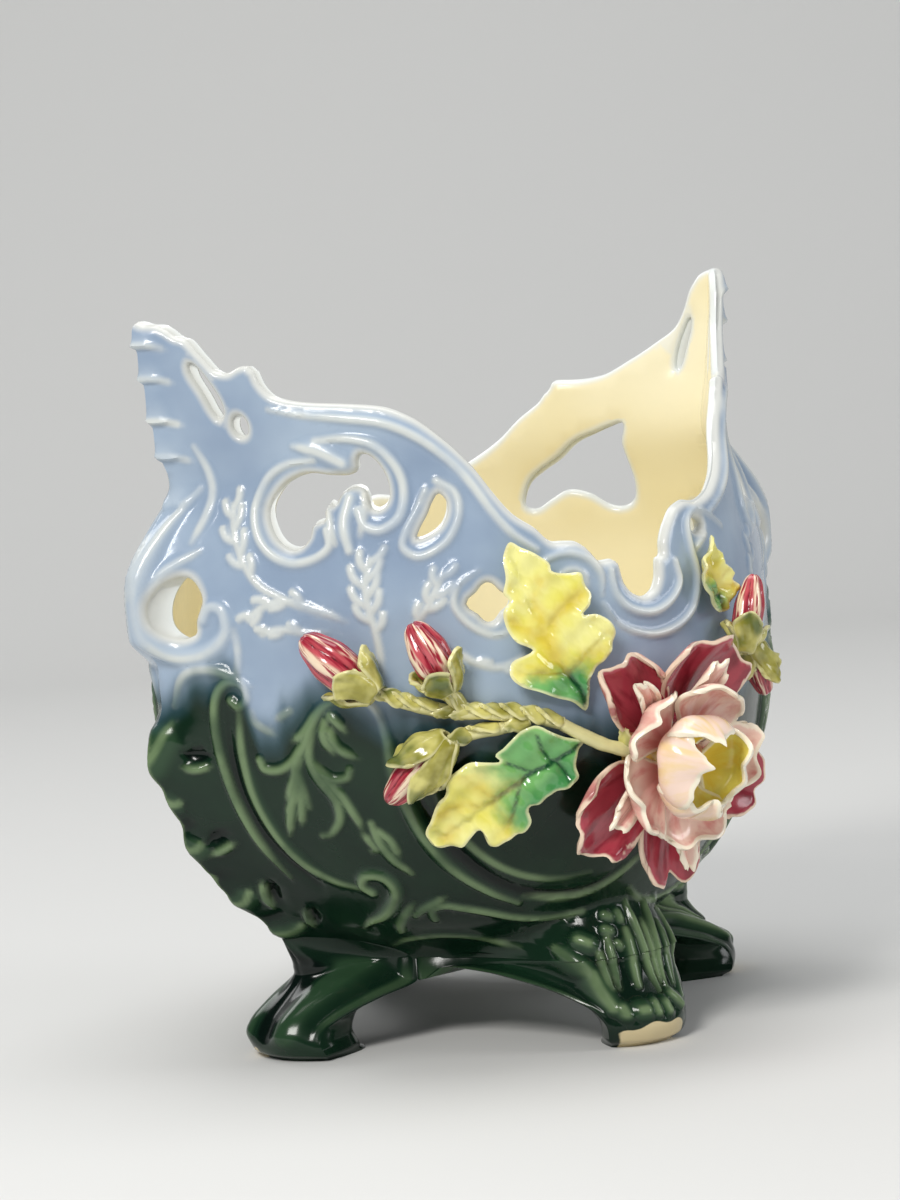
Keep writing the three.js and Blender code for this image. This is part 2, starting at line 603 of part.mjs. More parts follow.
// Leaves: left edge, middle vein and right edge from stalk to tip, each place as s, h and lift
// above the leaf's seat on the wall
const leafSeat = leafThickness / 2 + fitGap;
const upperLeaf = [
  [[-20.8, 116, 0.5], [-19.6, 116, 0.5], [-18.4, 116, 0.5]],
  [[-24, 120, 1.4], [-20.5, 121.5, 0.5], [-18.6, 122, 0.9]],
  [[-35.5, 124, 2.1], [-22, 127, 0], [-17, 129, 1.4]],
  [[-39, 131, 3], [-23.5, 132.5, 0], [-11.5, 137.5, 3]],
  [[-34, 134.5, 1.8], [-25, 138, 0], [-11.5, 142, 3]],
  [[-39.5, 142, 2.5], [-27, 143, 0], [-18.5, 145.5, 1.8]],
  [[-40, 149, 3], [-29, 148.5, 0], [-16.7, 151.5, 2.1]],
  [[-38.3, 156, 2.5], [-31, 155, 0], [-18.5, 158, 3]],
  [[-38.6, 163, 2.5], [-34, 162, 0.5], [-27, 159.5, 2.1]],
  [[-38, 169, 3], [-37, 168.7, 2.1], [-35.5, 168, 3]],
];
const lowerLeaf = [
  [[-22.5, 104.5, 0.5], [-22.8, 103, 0.5], [-23, 101.5, 0.5]],
  [[-27.5, 105, 1.4], [-27, 101.5, 0.5], [-24.5, 97, 1.8]],
  [[-33, 111, 3], [-32, 100.5, 0.5], [-25.5, 92, 3.4]],
  [[-38.5, 110, 3], [-36.5, 97.5, 0.5], [-31, 88.5, 3]],
  [[-45.5, 104, 3], [-41.5, 95, 0.5], [-36.5, 86, 2.1]],
  [[-45.5, 100.5, 1.8], [-45, 92, 0.5], [-38, 79.5, 3.4]],
  [[-53, 101, 3], [-49, 88.5, 0.5], [-47, 74, 3.4]],
  [[-58.5, 94.5, 3], [-54, 84, 0.5], [-51, 77, 2.1]],
  [[-62.5, 84, 3], [-59, 79, 0.9], [-57, 73.8, 3]],
  [[-65.5, 77.5, 3], [-64.7, 75.8, 2.5], [-63.5, 74.2, 3]],
];
const sideLeaf = [
  [[26, 139, 1.4], [28, 138.5, 1.4], [30, 139, 2.1]],
  [[22.5, 142.5, 2.5], [27, 142.5, 1.4], [32, 141.5, 4.2]],
  [[19.5, 147, 3], [26, 147, 1.4], [34, 146, 5.5]],
  [[18, 152, 3], [25, 152, 1.4], [32, 152, 4.7]],
  [[20.5, 157, 3], [24.5, 157.5, 1.8], [29, 157, 3.4]],
  [[23.5, 163, 3.4], [24.8, 163.3, 3], [26, 163, 3.4]],
];

function leaf(rows) {
  const grid = rows.map(([leftEdge, vein, rightEdge]) => {
    const between = (a, b) => a.map((value, i) => (value + b[i]) / 2);
    return [leftEdge, between(leftEdge, vein), vein, between(vein, rightEdge), rightEdge]
      .map(([s, h, lift]) => onWall(s, h, leafSeat + lift));
  });
  return sheet(grid, leafThickness);
}

// Buds: a closed spindle from its seat in the sepals to its tip
const buds = [
  { name: '1', seat: [-76, 130, 8], tip: [-89.5, 145.5, 7.5], size: 1.15, cover: 0.3 },
  { name: '2', seat: [-56, 130, 7.3], tip: [-62, 148, 7], size: 1.05, cover: 0.3 },
  { name: '3', seat: [-59.5, 107, 7.6], tip: [-73, 92, 7], size: 1.02, cover: 0.6 },
  { name: '4', seat: [32, 131, 9], tip: [37, 150, 11], size: 0.82, cover: 0.3 },
  { name: '5', seat: [38, 124, 8], tip: [44, 110, 9], size: 0.72, cover: 0.5 },
];

function budLine({ seat, tip }, shares) {
  const start = onWall(...seat);
  const end = onWall(...tip);
  return shares.map((share) => start.clone().lerp(end, share));
}

function bud(item) {
  const places = budLine(item, [0, 0.22, 0.5, 0.78, 1]);
  const radii = [0.55, 0.88, 0.88, 0.66, 0.28].map((share) => share * budRadius * item.size);
  return spindle(places, radii, 8);
}

// Sepals: a cup round the bud's foot
function sepals(item) {
  const places = budLine(item, [-0.3, -0.1, item.cover / 2, item.cover]);
  const radii = [0.4, 0.9, 1.15, 1.1].map((share) => share * budRadius * item.size);
  return spindle(places, radii, 8);
}

// Stems: places as s, h and lift, with bracts clasping them
const stemLift = 0.8 * stemRadius;
const stems = {
  stem_flower: {
    line: [[-12, 101, stemLift + 4], [-18, 103.5, stemLift + 2.5], [-23, 107, stemLift + 1], [-27.5, 111, stemLift]],
  },
  stem_main: {
    line: [[-27.8, 111.3, stemLift], [-36, 115, stemLift], [-44, 116.5, stemLift], [-55, 118.5, stemLift],
      [-65, 122, stemLift + 1], [-73, 127.5, stemLift + 4]],
    bracts: [[-31, 116, -36, 117], [-43, 119, -49, 120.5], [-52, 116, -57, 115.5], [-64, 124.5, -69, 128]],
  },
  stem_branch_upper: { line: [[-51, 119, stemLift], [-54, 122, stemLift + 1], [-55.3, 128, stemLift + 4]] },
  stem_branch_lower: {
    line: [[-36, 113, stemLift], [-44, 111.5, stemLift], [-52, 110.5, stemLift + 1], [-57, 109, stemLift + 4]],
  },
  stem_right: { line: [[24, 120, stemLift], [28, 124, stemLift + 1.5], [31, 128, stemLift + 5]] },
};

function stem({ line, bracts = [] }) {
  const core = tube(line.map((place) => onWall(...place)), stemRadius, 2 * (line.length - 1));
  const parts = bracts.map(([s0, h0, s1, h1]) => {
    const start = onWall(s0, h0, stemLift);
    const end = onWall(s1, h1, stemLift + 1);
    const places = [0, 0.5, 1].map((share) => start.clone().lerp(end, share));
    return spindle(places, [1.6, 2.6, 0.8], 6);
  });
  return wasm.Manifold.union([core, ...parts]);
}

// Assembly: each applied piece is trimmed clear of the mouldings and of the pieces set before it
const pot = new THREE.Group();
const set = [];
const bodySpace = wasm.Manifold.union([
  grown(potShell(), fitGap), ...ridgesOf(front, fitGap), ...ridgesOf(back, fitGap),
]);

function boxesMeet(a, b) {
  const first = a.boundingBox();
  const second = b.boundingBox();
  return [0, 1, 2].every((k) => first.min[k] < second.max[k] + fitGap && second.min[k] < first.max[k] + fitGap);
}

function addNode(name, solid, finish) {
  const { vertProperties, triVerts } = solid.getMesh();
  const geometry = new THREE.BufferGeometry();
  geometry.setAttribute('position', new THREE.BufferAttribute(vertProperties, 3));
  geometry.setIndex(new THREE.BufferAttribute(triVerts, 1));
  geometry.computeVertexNormals();
  const mesh = new THREE.Mesh(geometry, new THREE.MeshStandardMaterial(finish));
  mesh.name = name;
  pot.add(mesh);
}

function applyPiece(name, solid, finish) {
  let trimmed = solid.subtract(bodySpace);
  for (const neighbour of set) {
    if (boxesMeet(trimmed, neighbour)) {
      trimmed = trimmed.subtract(wasm.Manifold.union([neighbour, grown(neighbour, fitGap)]));
    }
  }
  set.push(trimmed);
  addNode(name, trimmed, finish);
}

addNode('pot_body', potBody(), glaze.body);
feet.forEach((item) => {
  const solid = item.lapped ? wasm.Manifold.union([foot(item), legLap(item)]).subtract(bodySpace) : foot(item);
  addNode(item.name, solid, glaze.foot);
});

applyPiece('flower_base', flowerBase(), glaze.crimson);
outerPetals.forEach((item, i) => applyPiece(`outer_petal_${i + 1}`, petal(item), glaze.crimson));
tonguePetals.forEach((item, i) => applyPiece(`tongue_petal_${i + 1}`, petal(item), glaze.pink));
middlePetals.forEach((item, i) => applyPiece(`middle_petal_${i + 1}`, petal(item), glaze.pink));
cupPetals.forEach((item, i) => applyPiece(`cup_petal_${i + 1}`, petal(item), glaze.pink));
Object.entries(stems).forEach(([name, item]) => applyPiece(name, stem(item), glaze.stem));
buds.forEach((item) => applyPiece(`bud_${item.name}`, bud(item), glaze.crimson));
buds.forEach((item) => applyPiece(`sepals_${item.name}`, sepals(item), glaze.stem));
applyPiece('leaf_upper', leaf(upperLeaf), glaze.leaf);
applyPiece('leaf_lower', leaf(lowerLeaf), glaze.leaf);
applyPiece('leaf_side', leaf(sideLeaf), glaze.leaf);

// The origin is the middle of the whole pot's outline on the floor
const bounds = new THREE.Box3().setFromObject(pot);
const middle = bounds.getCenter(new THREE.Vector3());
pot.children.forEach((mesh) => mesh.geometry.translate(-middle.x, -middle.y, -bounds.min.z));

export default pot;
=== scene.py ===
import json
import math

import bmesh
import bpy
import numpy as np
from mathutils import Matrix, Vector
from mathutils.geometry import delaunay_2d_cdt

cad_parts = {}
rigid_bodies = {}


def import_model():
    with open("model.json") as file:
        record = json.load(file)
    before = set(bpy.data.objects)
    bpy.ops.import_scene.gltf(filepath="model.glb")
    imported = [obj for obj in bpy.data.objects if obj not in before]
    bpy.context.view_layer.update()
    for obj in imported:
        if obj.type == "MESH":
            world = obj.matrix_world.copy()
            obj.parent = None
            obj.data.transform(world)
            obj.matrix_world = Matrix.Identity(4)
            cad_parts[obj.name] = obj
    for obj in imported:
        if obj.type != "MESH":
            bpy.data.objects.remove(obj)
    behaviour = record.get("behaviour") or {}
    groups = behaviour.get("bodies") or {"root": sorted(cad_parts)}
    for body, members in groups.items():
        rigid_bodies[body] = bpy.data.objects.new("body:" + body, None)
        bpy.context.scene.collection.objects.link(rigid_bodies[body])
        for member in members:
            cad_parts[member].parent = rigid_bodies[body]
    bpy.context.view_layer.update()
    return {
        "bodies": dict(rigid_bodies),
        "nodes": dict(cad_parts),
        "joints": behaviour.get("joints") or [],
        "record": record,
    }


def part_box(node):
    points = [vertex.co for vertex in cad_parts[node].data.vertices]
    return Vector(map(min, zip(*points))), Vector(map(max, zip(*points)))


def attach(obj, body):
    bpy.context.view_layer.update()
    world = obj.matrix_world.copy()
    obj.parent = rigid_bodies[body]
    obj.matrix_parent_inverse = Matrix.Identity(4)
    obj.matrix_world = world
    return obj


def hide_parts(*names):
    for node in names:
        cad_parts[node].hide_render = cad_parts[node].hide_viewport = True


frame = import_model()
print("frame loaded")

millimetre = 0.001
bodyLow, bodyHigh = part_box("pot_body")
# middle of the pot without its flower
planCentre = (np.array(bodyLow) + np.array(bodyHigh)) / 2 * (1, 1, 0)


# small helpers

def smoothStep(low, high, value):
    t = np.clip((np.asarray(value, float) - low) / (high - low), 0, 1)
    return t * t * (3 - 2 * t)


def throughKnots(knots):  # smooth curve through (x, y) knots, with no overshoot
    xs, ys = np.array(knots, float).T
    secant = np.diff(ys) / np.diff(xs)
    slopes = np.zeros(len(xs))
    for i in range(1, len(xs) - 1):
        if secant[i] * secant[i - 1] > 0:
            slopes[i] = 2 * secant[i] * secant[i - 1] / (secant[i] + secant[i - 1])

    def curve(x):
        x = np.asarray(x, float)
        i = np.clip(np.searchsorted(xs, x) - 1, 0, len(xs) - 2)
        span = xs[i + 1] - xs[i]
        t = np.clip((x - xs[i]) / span, 0, 1)
        bend = (1 - t) * slopes[i] - t * slopes[i + 1]
        return ys[i] + (ys[i + 1] - ys[i]) * t * t * (3 - 2 * t) + span * t * (1 - t) * bend
    return curve


def smoothLine(points, closed=False, per=8):  # Catmull-Rom through given points
    p = np.array(points, float)
    if closed:
        p = np.vstack([p[-1], p, p[0], p[1]])
    else:
        p = np.vstack([2 * p[0] - p[1], p, 2 * p[-1] - p[-2]])
    t = np.linspace(0, 1, per, endpoint=False)[:, None]
    runs = []
    for a, b, c, d in zip(p[:-3], p[1:-2], p[2:-1], p[3:]):
        runs.append(0.5 * (2 * b + (c - a) * t + (2 * a - 5 * b + 4 * c - d) * t ** 2
                           + (3 * b - a - 3 * c + d) * t ** 3))
    if not closed:
        runs.append(p[-2][None])
    return np.vstack(runs)


def evenly(points, spacing, closed=False):  # the same line with even steps
    p = np.asarray(points, float)
    if closed:
        p = np.vstack([p, p[0]])
    along = np.concatenate([[0], np.cumsum(np.linalg.norm(np.diff(p, axis=0), axis=1))])
    count = max(int(round(along[-1] / spacing)), 3)
    at = np.linspace(0, along[-1], count + 1)
    line = np.column_stack([np.interp(at, along, p[:, k]) for k in range(p.shape[1])])
    return line[:-1] if closed else line


def toLine(points, line):  # distance of each point from a line, and where along it, 0 to 1
    start, step = line[:-1], np.diff(line, axis=0)
    lengths = np.linalg.norm(step, axis=1)
    before = np.concatenate([[0], np.cumsum(lengths)])
    best, share = np.full(len(points), 1e9), np.zeros(len(points))
    for i in range(len(start)):
        t = np.clip((points - start[i]) @ step[i] / max(lengths[i] ** 2, 1e-12), 0, 1)
        d = np.linalg.norm(points - start[i] - t[:, None] * step[i], axis=1)
        near = d < best
        best[near] = d[near]
        share[near] = (before[i] + t[near] * lengths[i]) / before[-1]
    return best, share


def insideOutline(points, outline):
    x, y = points[:, 0], points[:, 1]
    inside = np.zeros(len(points), bool)
    for (x0, y0), (x1, y1) in zip(outline, np.roll(outline, -1, axis=0)):
        if y0 == y1:
            continue
        crosses = (y0 > y) != (y1 > y)
        inside ^= crosses & (x < (x1 - x0) * (y - y0) / (y1 - y0) + x0)
    return inside


def linked(name, data):
    item = bpy.data.objects.new(name, data)
    bpy.context.scene.collection.objects.link(item)
    return item


def addLook(mesh, key, values):  # a value at each point, for the materials
    layer = mesh.attributes.new(key, "FLOAT", "POINT")
    layer.data.foreach_set("value", np.asarray(values, np.float32).ravel())


def newPiece(name, verts, faces, material, looks=()):  # in millimetres round the pot's middle
    mesh = bpy.data.meshes.new(name)
    placed = np.asarray(verts, float) * millimetre + planCentre
    mesh.from_pydata(placed.tolist(), [], [list(map(int, f)) for f in faces])
    for key, values in dict(looks).items():
        addLook(mesh, key, values)
    mesh.polygons.foreach_set("use_smooth", [True] * len(mesh.polygons))
    mesh.materials.append(material)
    mesh.update()
    return linked(name, mesh)


def patch(rows, columns):  # even steps, 0 to 1 along a sheet and -1 to 1 across it
    along = np.linspace(0, 1, rows)[:, None] + np.zeros((1, columns))
    return along, np.linspace(-1, 1, columns)[None] + 0 * along


def ringFaces(rows, columns):  # four-sided faces round a tube of rings
    nextTo = [(j + 1) % columns for j in range(columns)]
    return [(i + j, i + k, i + columns + k, i + columns + j)
            for i in range(0, (rows - 1) * columns, columns) for j, k in enumerate(nextTo)]


# the wall, as a surface over s, from prow to prow, and h, up it, both in millimetres

wall = {
    "height": 250, "footHeight": 29, "halfLength": 126, "halfWidth": 104, "thickness": 5,
    "halfSpan": 170, "floor": 36, "keel": (118, 162), "keelNormal": (148, 170), "innerEnds": 1.2,
    "swell": 3, "swellAt": (-27, 92), "swellReach": (34, 38),
}
lengthShare = throughKnots([
    (29, .5), (45, .67), (60, .79), (80, .91), (100, .97), (125, 1), (150, 1), (175, .95),
    (195, .89), (215, .92), (250, .955)])
widthShare = throughKnots([
    (29, .54), (45, .72), (60, .835), (80, .93), (100, .98), (125, 1), (150, .995), (175, .97),
    (195, .94), (215, .915), (250, .865)])
keelShare = throughKnots([
    (29, .6), (43, .7), (54, .8), (66, .885), (79, .94), (93, .98), (103, 1.02), (113, 1.01),
    (124, .975), (136, .975), (147, 1.04), (158, 1.05), (169, 1.02), (182, .955), (195, .885),
    (206, .915), (232, .945), (250, .96)])
fullness = throughKnots([(29, 1.95), (60, 2.05), (100, 2), (250, 2)])

# the two side legs: their front face drops from the belly to the toe
leg = {"roundness": .45, "mostRound": 1.6, "softness": 9, "fade": (.75, 1.6), "top": (45, 56)}
legReachAt = throughKnots([
    (0, 91), (2.3, 94.5), (7.2, 96), (13, 93.5), (19, 90.5), (29, 85.5), (38, 81), (46, 76.5),
    (56, 70)])
legHalfAt = throughKnots([
    (0, 13), (3, 15.4), (8, 16), (13, 17.5), (19, 20), (25, 22), (29, 23), (38, 20), (46, 15),
    (56, 10)])


def legBulge(x, y, h):  # how far the wall swells into a leg at this place
    half = legHalfAt(h)
    across = np.abs(x) / half
    target = legReachAt(h) - leg["roundness"] * half * np.minimum(across, leg["mostRound"]) ** 2.4
    short = target - y
    soft = (short + np.sqrt(short ** 2 + leg["softness"])) / 2
    return soft * (1 - smoothStep(*leg["fade"], across)) * (1 - smoothStep(*leg["top"], h))


def wallFace(s, h, side, inner=False):
    turn = s / wall["halfSpan"] * math.pi / 2
    length, width = lengthShare(h), widthShare(h)
    if inner:
        halfLength = wall["halfLength"] * length - wall["innerEnds"] * wall["thickness"]
        halfWidth = wall["halfWidth"] * width - wall["thickness"]
    else:
        keeled = smoothStep(*wall["keel"], np.abs(s))
        halfLength = wall["halfLength"] * (length + (keelShare(h) - length) * keeled)
        (atS, atH), (reachS, reachH) = wall["swellAt"], wall["swellReach"]
        away = ((s - atS) / reachS) ** 2 + ((h - atH) / reachH) ** 2
        halfWidth = wall["halfWidth"] * width + wall["swell"] * np.clip(1 - away, 0, 1) ** 2
    x, y = halfLength * np.sin(turn), halfWidth * np.maximum(np.cos(turn), 0) ** fullness(h)
    if not inner:
        y = y + legBulge(x, y, h)
    return np.column_stack([x, side * y, h + 0 * s])


def wallNormal(s, h, side, inner=False, step=0.5):
    flat = np.clip(s, -165, 165)  # beyond this the sides meet too steeply to measure
    alongS = wallFace(flat + step, h, side, inner) - wallFace(flat - step, h, side, inner)
    alongH = wallFace(flat, h + step, side, inner) - wallFace(flat, h - step, side, inner)
    normal = np.cross(alongS, alongH) * -side
    normal /= np.linalg.norm(normal, axis=1)[:, None]
    keel = np.column_stack([np.sign(s), 0 * s, 0 * s])
    share = smoothStep(*wall["keelNormal"], np.abs(s))[:, None]
    normal = normal * (1 - share) + keel * share
    return normal / np.linalg.norm(normal, axis=1)[:, None]


def onWall(s, h, lift=0, side=-1):
    s, h, lift = (np.atleast_1d(np.asarray(value, float)) for value in (s, h, lift))
    return wallFace(s, h, side) + wallNormal(s, h, side) * lift[:, None]


# the flattened wall is measured by a, its length along the belly, so that its triangles are even
bellyHeight = 125.0
sTable = np.linspace(-wall["halfSpan"], wall["halfSpan"], 681)
belly = wallFace(sTable, np.full(len(sTable), bellyHeight), -1)
aTable = np.concatenate([[0], np.cumsum(np.linalg.norm(np.diff(belly, axis=0), axis=1))])
aTable -= aTable[-1] / 2
halfSpanA = aTable[-1]


def toA(line):
    line = np.asarray(line, float)
    return np.column_stack([np.interp(line[:, 0], sTable, aTable), line[:, 1]])


def toS(a):
    return np.interp(a, aTable, sTable)


# rim line from prow to prow, in runs that meet at its points
rimRuns = [
    [(-170, 250), (-160, 249.7), (-152, 248.8), (-142, 248.3), (-136, 246.5), (-131, 244),
     (-127, 243), (-121, 237), (-116, 231.8), (-112, 231), (-107, 232.7), (-104.5, 233),
     (-102.4, 231)],
    [(-102.4, 231), (-101.6, 227), (-98, 222.3), (-90, 220), (-78, 218.5), (-68, 216.8),
     (-60, 212.5), (-53, 205), (-47, 196.5), (-41, 186.5), (-35, 178.5), (-29.5, 174),
     (-24.5, 169)],
    [(-24.5, 169), (-19, 168.6), (-15, 166), (-11.3, 161.4), (-8, 161.6), (-6, 160.5)],
    [(-6, 160.5), (-4.8, 154), (-2, 150), (1.5, 148.4), (4.8, 149.8), (7, 153.5), (8.4, 160)],
    [(8.4, 160), (10.2, 160.8), (11, 165), (15, 171.5), (19.5, 175.6), (24, 176.8), (30, 176)],
    [(30, 176), (38, 177.5), (47, 181.5), (56, 186.5), (65, 193), (72, 201), (78, 206.5),
     (80.5, 210)],
    [(80.5, 210), (82.5, 213.8), (90, 213.4), (98, 214.3), (111, 220), (123, 226), (131, 230),
     (136, 236), (140, 243), (150, 248.4), (160, 249.6), (170, 250)],
]
windows = {
    "left": [(-90, 180.5), (-90.5, 176.3), (-93.5, 173.2), (-97.5, 174.3), (-101.5, 178.5),
             (-105, 185.5), (-103.8, 190.5), (-99.5, 194.6), (-93, 196.8), (-86, 195.8),
             (-80.5, 195.6), (-78, 197.5), (-77.5, 200.5), (-75.8, 202), (-73, 200), (-70.8, 195.5),
             (-69.6, 190), (-69.8, 186), (-71.8, 184), (-74, 185), (-75.2, 188.5), (-76.8, 191.2),
             (-80, 191.8), (-83.2, 189.7), (-84.5, 186.5), (-86.2, 187.3), (-87.2, 184.8),
             (-86.8, 182)],
    "right": [(109, 197), (107.6, 189), (107.3, 181), (107, 173.5), (105, 168), (100.8, 165.7),
              (96, 166.8), (90.5, 171.2), (84, 173), (78, 170), (73.5, 167), (70.3, 167.3),
              (69.5, 170.5), (72.5, 177.5), (78, 182), (84, 185.8), (90, 190.7), (96, 193.4)],
    "kidney": [(-56.2, 188), (-54, 185.5), (-53.6, 181.5), (-55, 177.5), (-58.2, 174.8),
               (-61.3, 174), (-60.6, 177.5), (-59, 181.5), (-57.8, 185.5)],
    "end": [(-136, 166), (-142, 163), (-146.5, 157.5), (-146, 151.5), (-141, 147.8), (-134, 145.8),
            (-127.5, 147), (-126.5, 151.5), (-124.5, 158), (-127, 163), (-131, 166)],
    "slot": [(-126.5, 235), (-123, 233), (-118.5, 226), (-116.5, 219.5), (-118.5, 216.2),
             (-121, 219), (-123.5, 225), (-127, 231.5)],
    "rightSlot": [(141.5, 233), (138.8, 231), (135, 224.5), (133.4, 218), (134.6, 214.5),
                  (137.2, 217), (139.4, 222.5), (142, 229)],
}


def lobedRing(s, h, radiusS, radiusH, lobing=0.0, steps=24):
    turn = np.arange(steps) / steps * 2 * math.pi
    share = 1 - lobing * (1 - np.cos(4 * turn)) / 2
    return np.column_stack([s + radiusS * share * np.cos(turn), h + radiusH * share * np.sin(turn)])


def mirrored(line):
    return [(-s, h) for s, h in line]


def rimLine(spacing):
    runs = []
    for run in rimRuns:
        curve = throughKnots(run)
        s = np.linspace(run[0][0], run[-1][0], 120)
        runs.append(evenly(toA(np.column_stack([s, curve(s)])), spacing)[:-1])
    return np.vstack(runs + [toA([rimRuns[-1][-1]])])


def openings(spacing):
    outlines = [smoothLine(line, closed=True) for line in windows.values()]
    outlines.append(smoothLine(mirrored(windows["end"]), closed=True))
    outlines += [lobedRing(-43.3, 152, 5.6, 6.6, 0.25), lobedRing(-111.5, 213.6, 2.8, 3.6),
                 lobedRing(27.5, 168.5, 3.2, 2.4)]
    return [evenly(toA(line), spacing, closed=True) for line in outlines]


def ridge(width, height, ends, *line):  # a raised line of the wall: ends say how far each end thins
    return {"width": width, "height": height, "ends": ends, "line": line}


prowLines = [
    # scroll round the end window, curling into its volute
    ridge(8.5, 2.1, (.3, .45), (-135, 194), (-143, 188), (-152, 177), (-156.5, 164), (-155.5, 151),
          (-147, 143.2), (-135, 140), (-123, 141), (-115.3, 147), (-116, 154.3), (-121, 155.8),
          (-123.3, 151.8)),
    ridge(4, .8, (.3, .3), (-113, 131), (-111.5, 140), (-112, 148)),
    ridge(5, 1.1, (.3, .3), (-128, 174), (-136, 170.5), (-143, 167), (-148.5, 161)),
    ridge(7, .8, (.3, .3), (-166, 180), (-164, 170), (-166, 160)),
    ridge(6, 1, (.3, .3), (-133, 208), (-129, 199), (-128.5, 187), (-132, 177)),
    # main vein of the prow leaf and the curls at its two ends
    ridge(4, 1.6, (.8, .2), (-115.3, 125), (-112.8, 123), (-110, 125.3), (-111, 129.8),
          (-116, 131.2), (-120.8, 127), (-122.7, 118), (-123, 105), (-121.8, 90), (-119.8, 74),
          (-117.5, 63)),
    ridge(5.6, 2.2, (.2, .75), (-105, 42.5), (-98, 45.5), (-91, 48), (-84.5, 52.5), (-81, 58),
          (-83, 63), (-88.5, 63.5), (-91.3, 60), (-89.3, 57.2)),
    ridge(7, 1.1, (.3, .3), (-113, 121), (-114.8, 106), (-114, 88), (-109, 71), (-101.5, 62),
          (-93, 58.5)),
    # frilled lobes of the prow leaf, which meet on the keel
    ridge(15, 1.5, (.3, 1), (-146, 118), (-154, 111), (-162, 107), (-170, 106)),
    ridge(9, 1.0, (.1, 1), (-148, 92), (-158, 91), (-170, 92)),
    ridge(11, 1.5, (.1, 1), (-146, 78), (-156, 75), (-170, 75)),
    ridge(10, 1.4, (.1, 1), (-139, 60), (-152, 55), (-170, 54)),
    ridge(8, 1.3, (.1, 1), (-130, 46), (-146, 42.5), (-170, 42)),
    # pale lips of its four folds
    ridge(3.6, 1.5, (.2, .2), (-141, 103.5), (-135, 102.6), (-128, 103.4)),
    ridge(4, 1.6, (.2, .2), (-147, 72.5), (-139, 74.3), (-131, 76.5)),
    ridge(4, 1.6, (.2, .2), (-139, 51.5), (-136, 57), (-131.5, 62)),
    ridge(3.4, 1.4, (.2, .2), (-130, 43.5), (-127, 47.5), (-123.5, 51)),
    # rolled upper edge of the leaf
    ridge(5.5, 1.6, (.2, .3), (-108, 129.5), (-114, 133), (-122, 135.5), (-132, 135), (-140, 131),
          (-146, 124)),
]
prowHollows = [
    ridge(5, 1.8, (.2, .2), (-140, 108.3), (-134, 107.3), (-127, 107.2)),
    ridge(5, 1.8, (.2, .2), (-145, 76.8), (-138, 78.8), (-130, 80.8)),
    ridge(5, 1.8, (.2, .2), (-134.5, 52.5), (-131.5, 57.5), (-127.5, 62.5)),
    ridge(4.4, 1.5, (.2, .2), (-126, 44.5), (-122.8, 48.5), (-119.5, 51.5)),
    ridge(7, .8, (.1, .6), (-146, 84.5), (-157, 83.5), (-170, 84)),
    ridge(7, .8, (.1, .6), (-140, 66.5), (-154, 64.5), (-170, 65)),
    ridge(6, .7, (.1, .6), (-133, 51), (-146, 48), (-170, 48)),
    ridge(5.5, 1.1, (.3, .6), (-117.6, 121), (-119, 105), (-117.8, 88), (-114, 72), (-108, 60)),
]
# scales that cross the spire like a shell
scales = {"edges": (188, 204, 216, 230, 241, 252), "rise": 1.9, "along": (134, 152),
          "from": (182, 190)}
for level in scales["edges"][1:-1]:
    line = (-136, level - .8), (-150, level + 1), (-170, level + 1)
    prowLines.append(ridge(3.4, .5, (.2, 1), *line))
leftLines = [
    ridge(4.2, 1.5, (.3, .5), (-100, 218.5), (-93, 216.5), (-88, 215.5), (-78, 213.8), (-68, 211.5),
          (-60, 206.5), (-53, 199), (-47, 190), (-41, 180), (-35.5, 172.5), (-30, 167.5)),
    ridge(4.4, 1.7, (.4, .8), (-90, 201), (-99, 200), (-106, 195.5), (-109.2, 187.5), (-107, 179.5),
          (-102, 172.5), (-95, 168.6), (-88.5, 169.3), (-84.3, 173), (-85.3, 178.5)),
    ridge(4.4, 1.7, (.4, .9), (-88, 207.3), (-79, 207.3), (-71.5, 204.5), (-67, 197.5),
          (-65.2, 189), (-66, 181), (-70.5, 177.3), (-75, 179), (-77.3, 184)),
    ridge(7, 1.8, (.3, .9), (-95, 206), (-88, 204), (-81.5, 199.5)),
    ridge(6.5, 2, (.9, .6), (-80, 188), (-80.6, 180), (-78.6, 171.5)),
    ridge(3.6, 1.4, (.8, .5), (-85.8, 184), (-84.2, 179), (-83, 174)),
    ridge(2.6, 1, (.8, .3), (-76, 189), (-75.5, 182), (-76, 176)),
    ridge(3.6, 1.3, (.6, .4), (-56.5, 191.8), (-51.5, 187.5), (-50.4, 180), (-53.5, 172.3),
          (-60, 168.2), (-64.5, 171.3), (-64, 176.5), (-61.5, 183), (-59.5, 189)),
    ridge(3, 1.1, (.3, .3), (-45.5, 162.2), (-50.5, 158.5), (-51.8, 152), (-48.5, 145.5),
          (-42.5, 141.3), (-37, 143)),
    # small scroll of the rim beside the dip
    ridge(3.6, 1.4, (.4, .3), (-29.5, 160.5), (-27, 164), (-21.5, 165.4), (-15.5, 162.8),
          (-12.3, 157.5), (-12.5, 151)),
    ridge(2.6, .9, (.4, .3), (-24.5, 155), (-23.5, 158.8), (-20, 160), (-17, 157.5), (-17, 152.5)),
    ridge(3.8, 1.5, (.5, .5), (-9, 158.5), (-8.3, 151), (-4.3, 145.3), (3, 143.2), (10, 146),
          (14.5, 151.5), (14, 158.3)),
    ridge(3.6, 1.3, (.3, .3), (-12.5, 148), (-7.5, 140.3), (2, 136), (11.5, 137.3), (19, 142.5),
          (22.5, 152), (21.3, 162.5), (22, 170), (27.5, 173.8), (35, 171), (41.5, 166.5)),
]


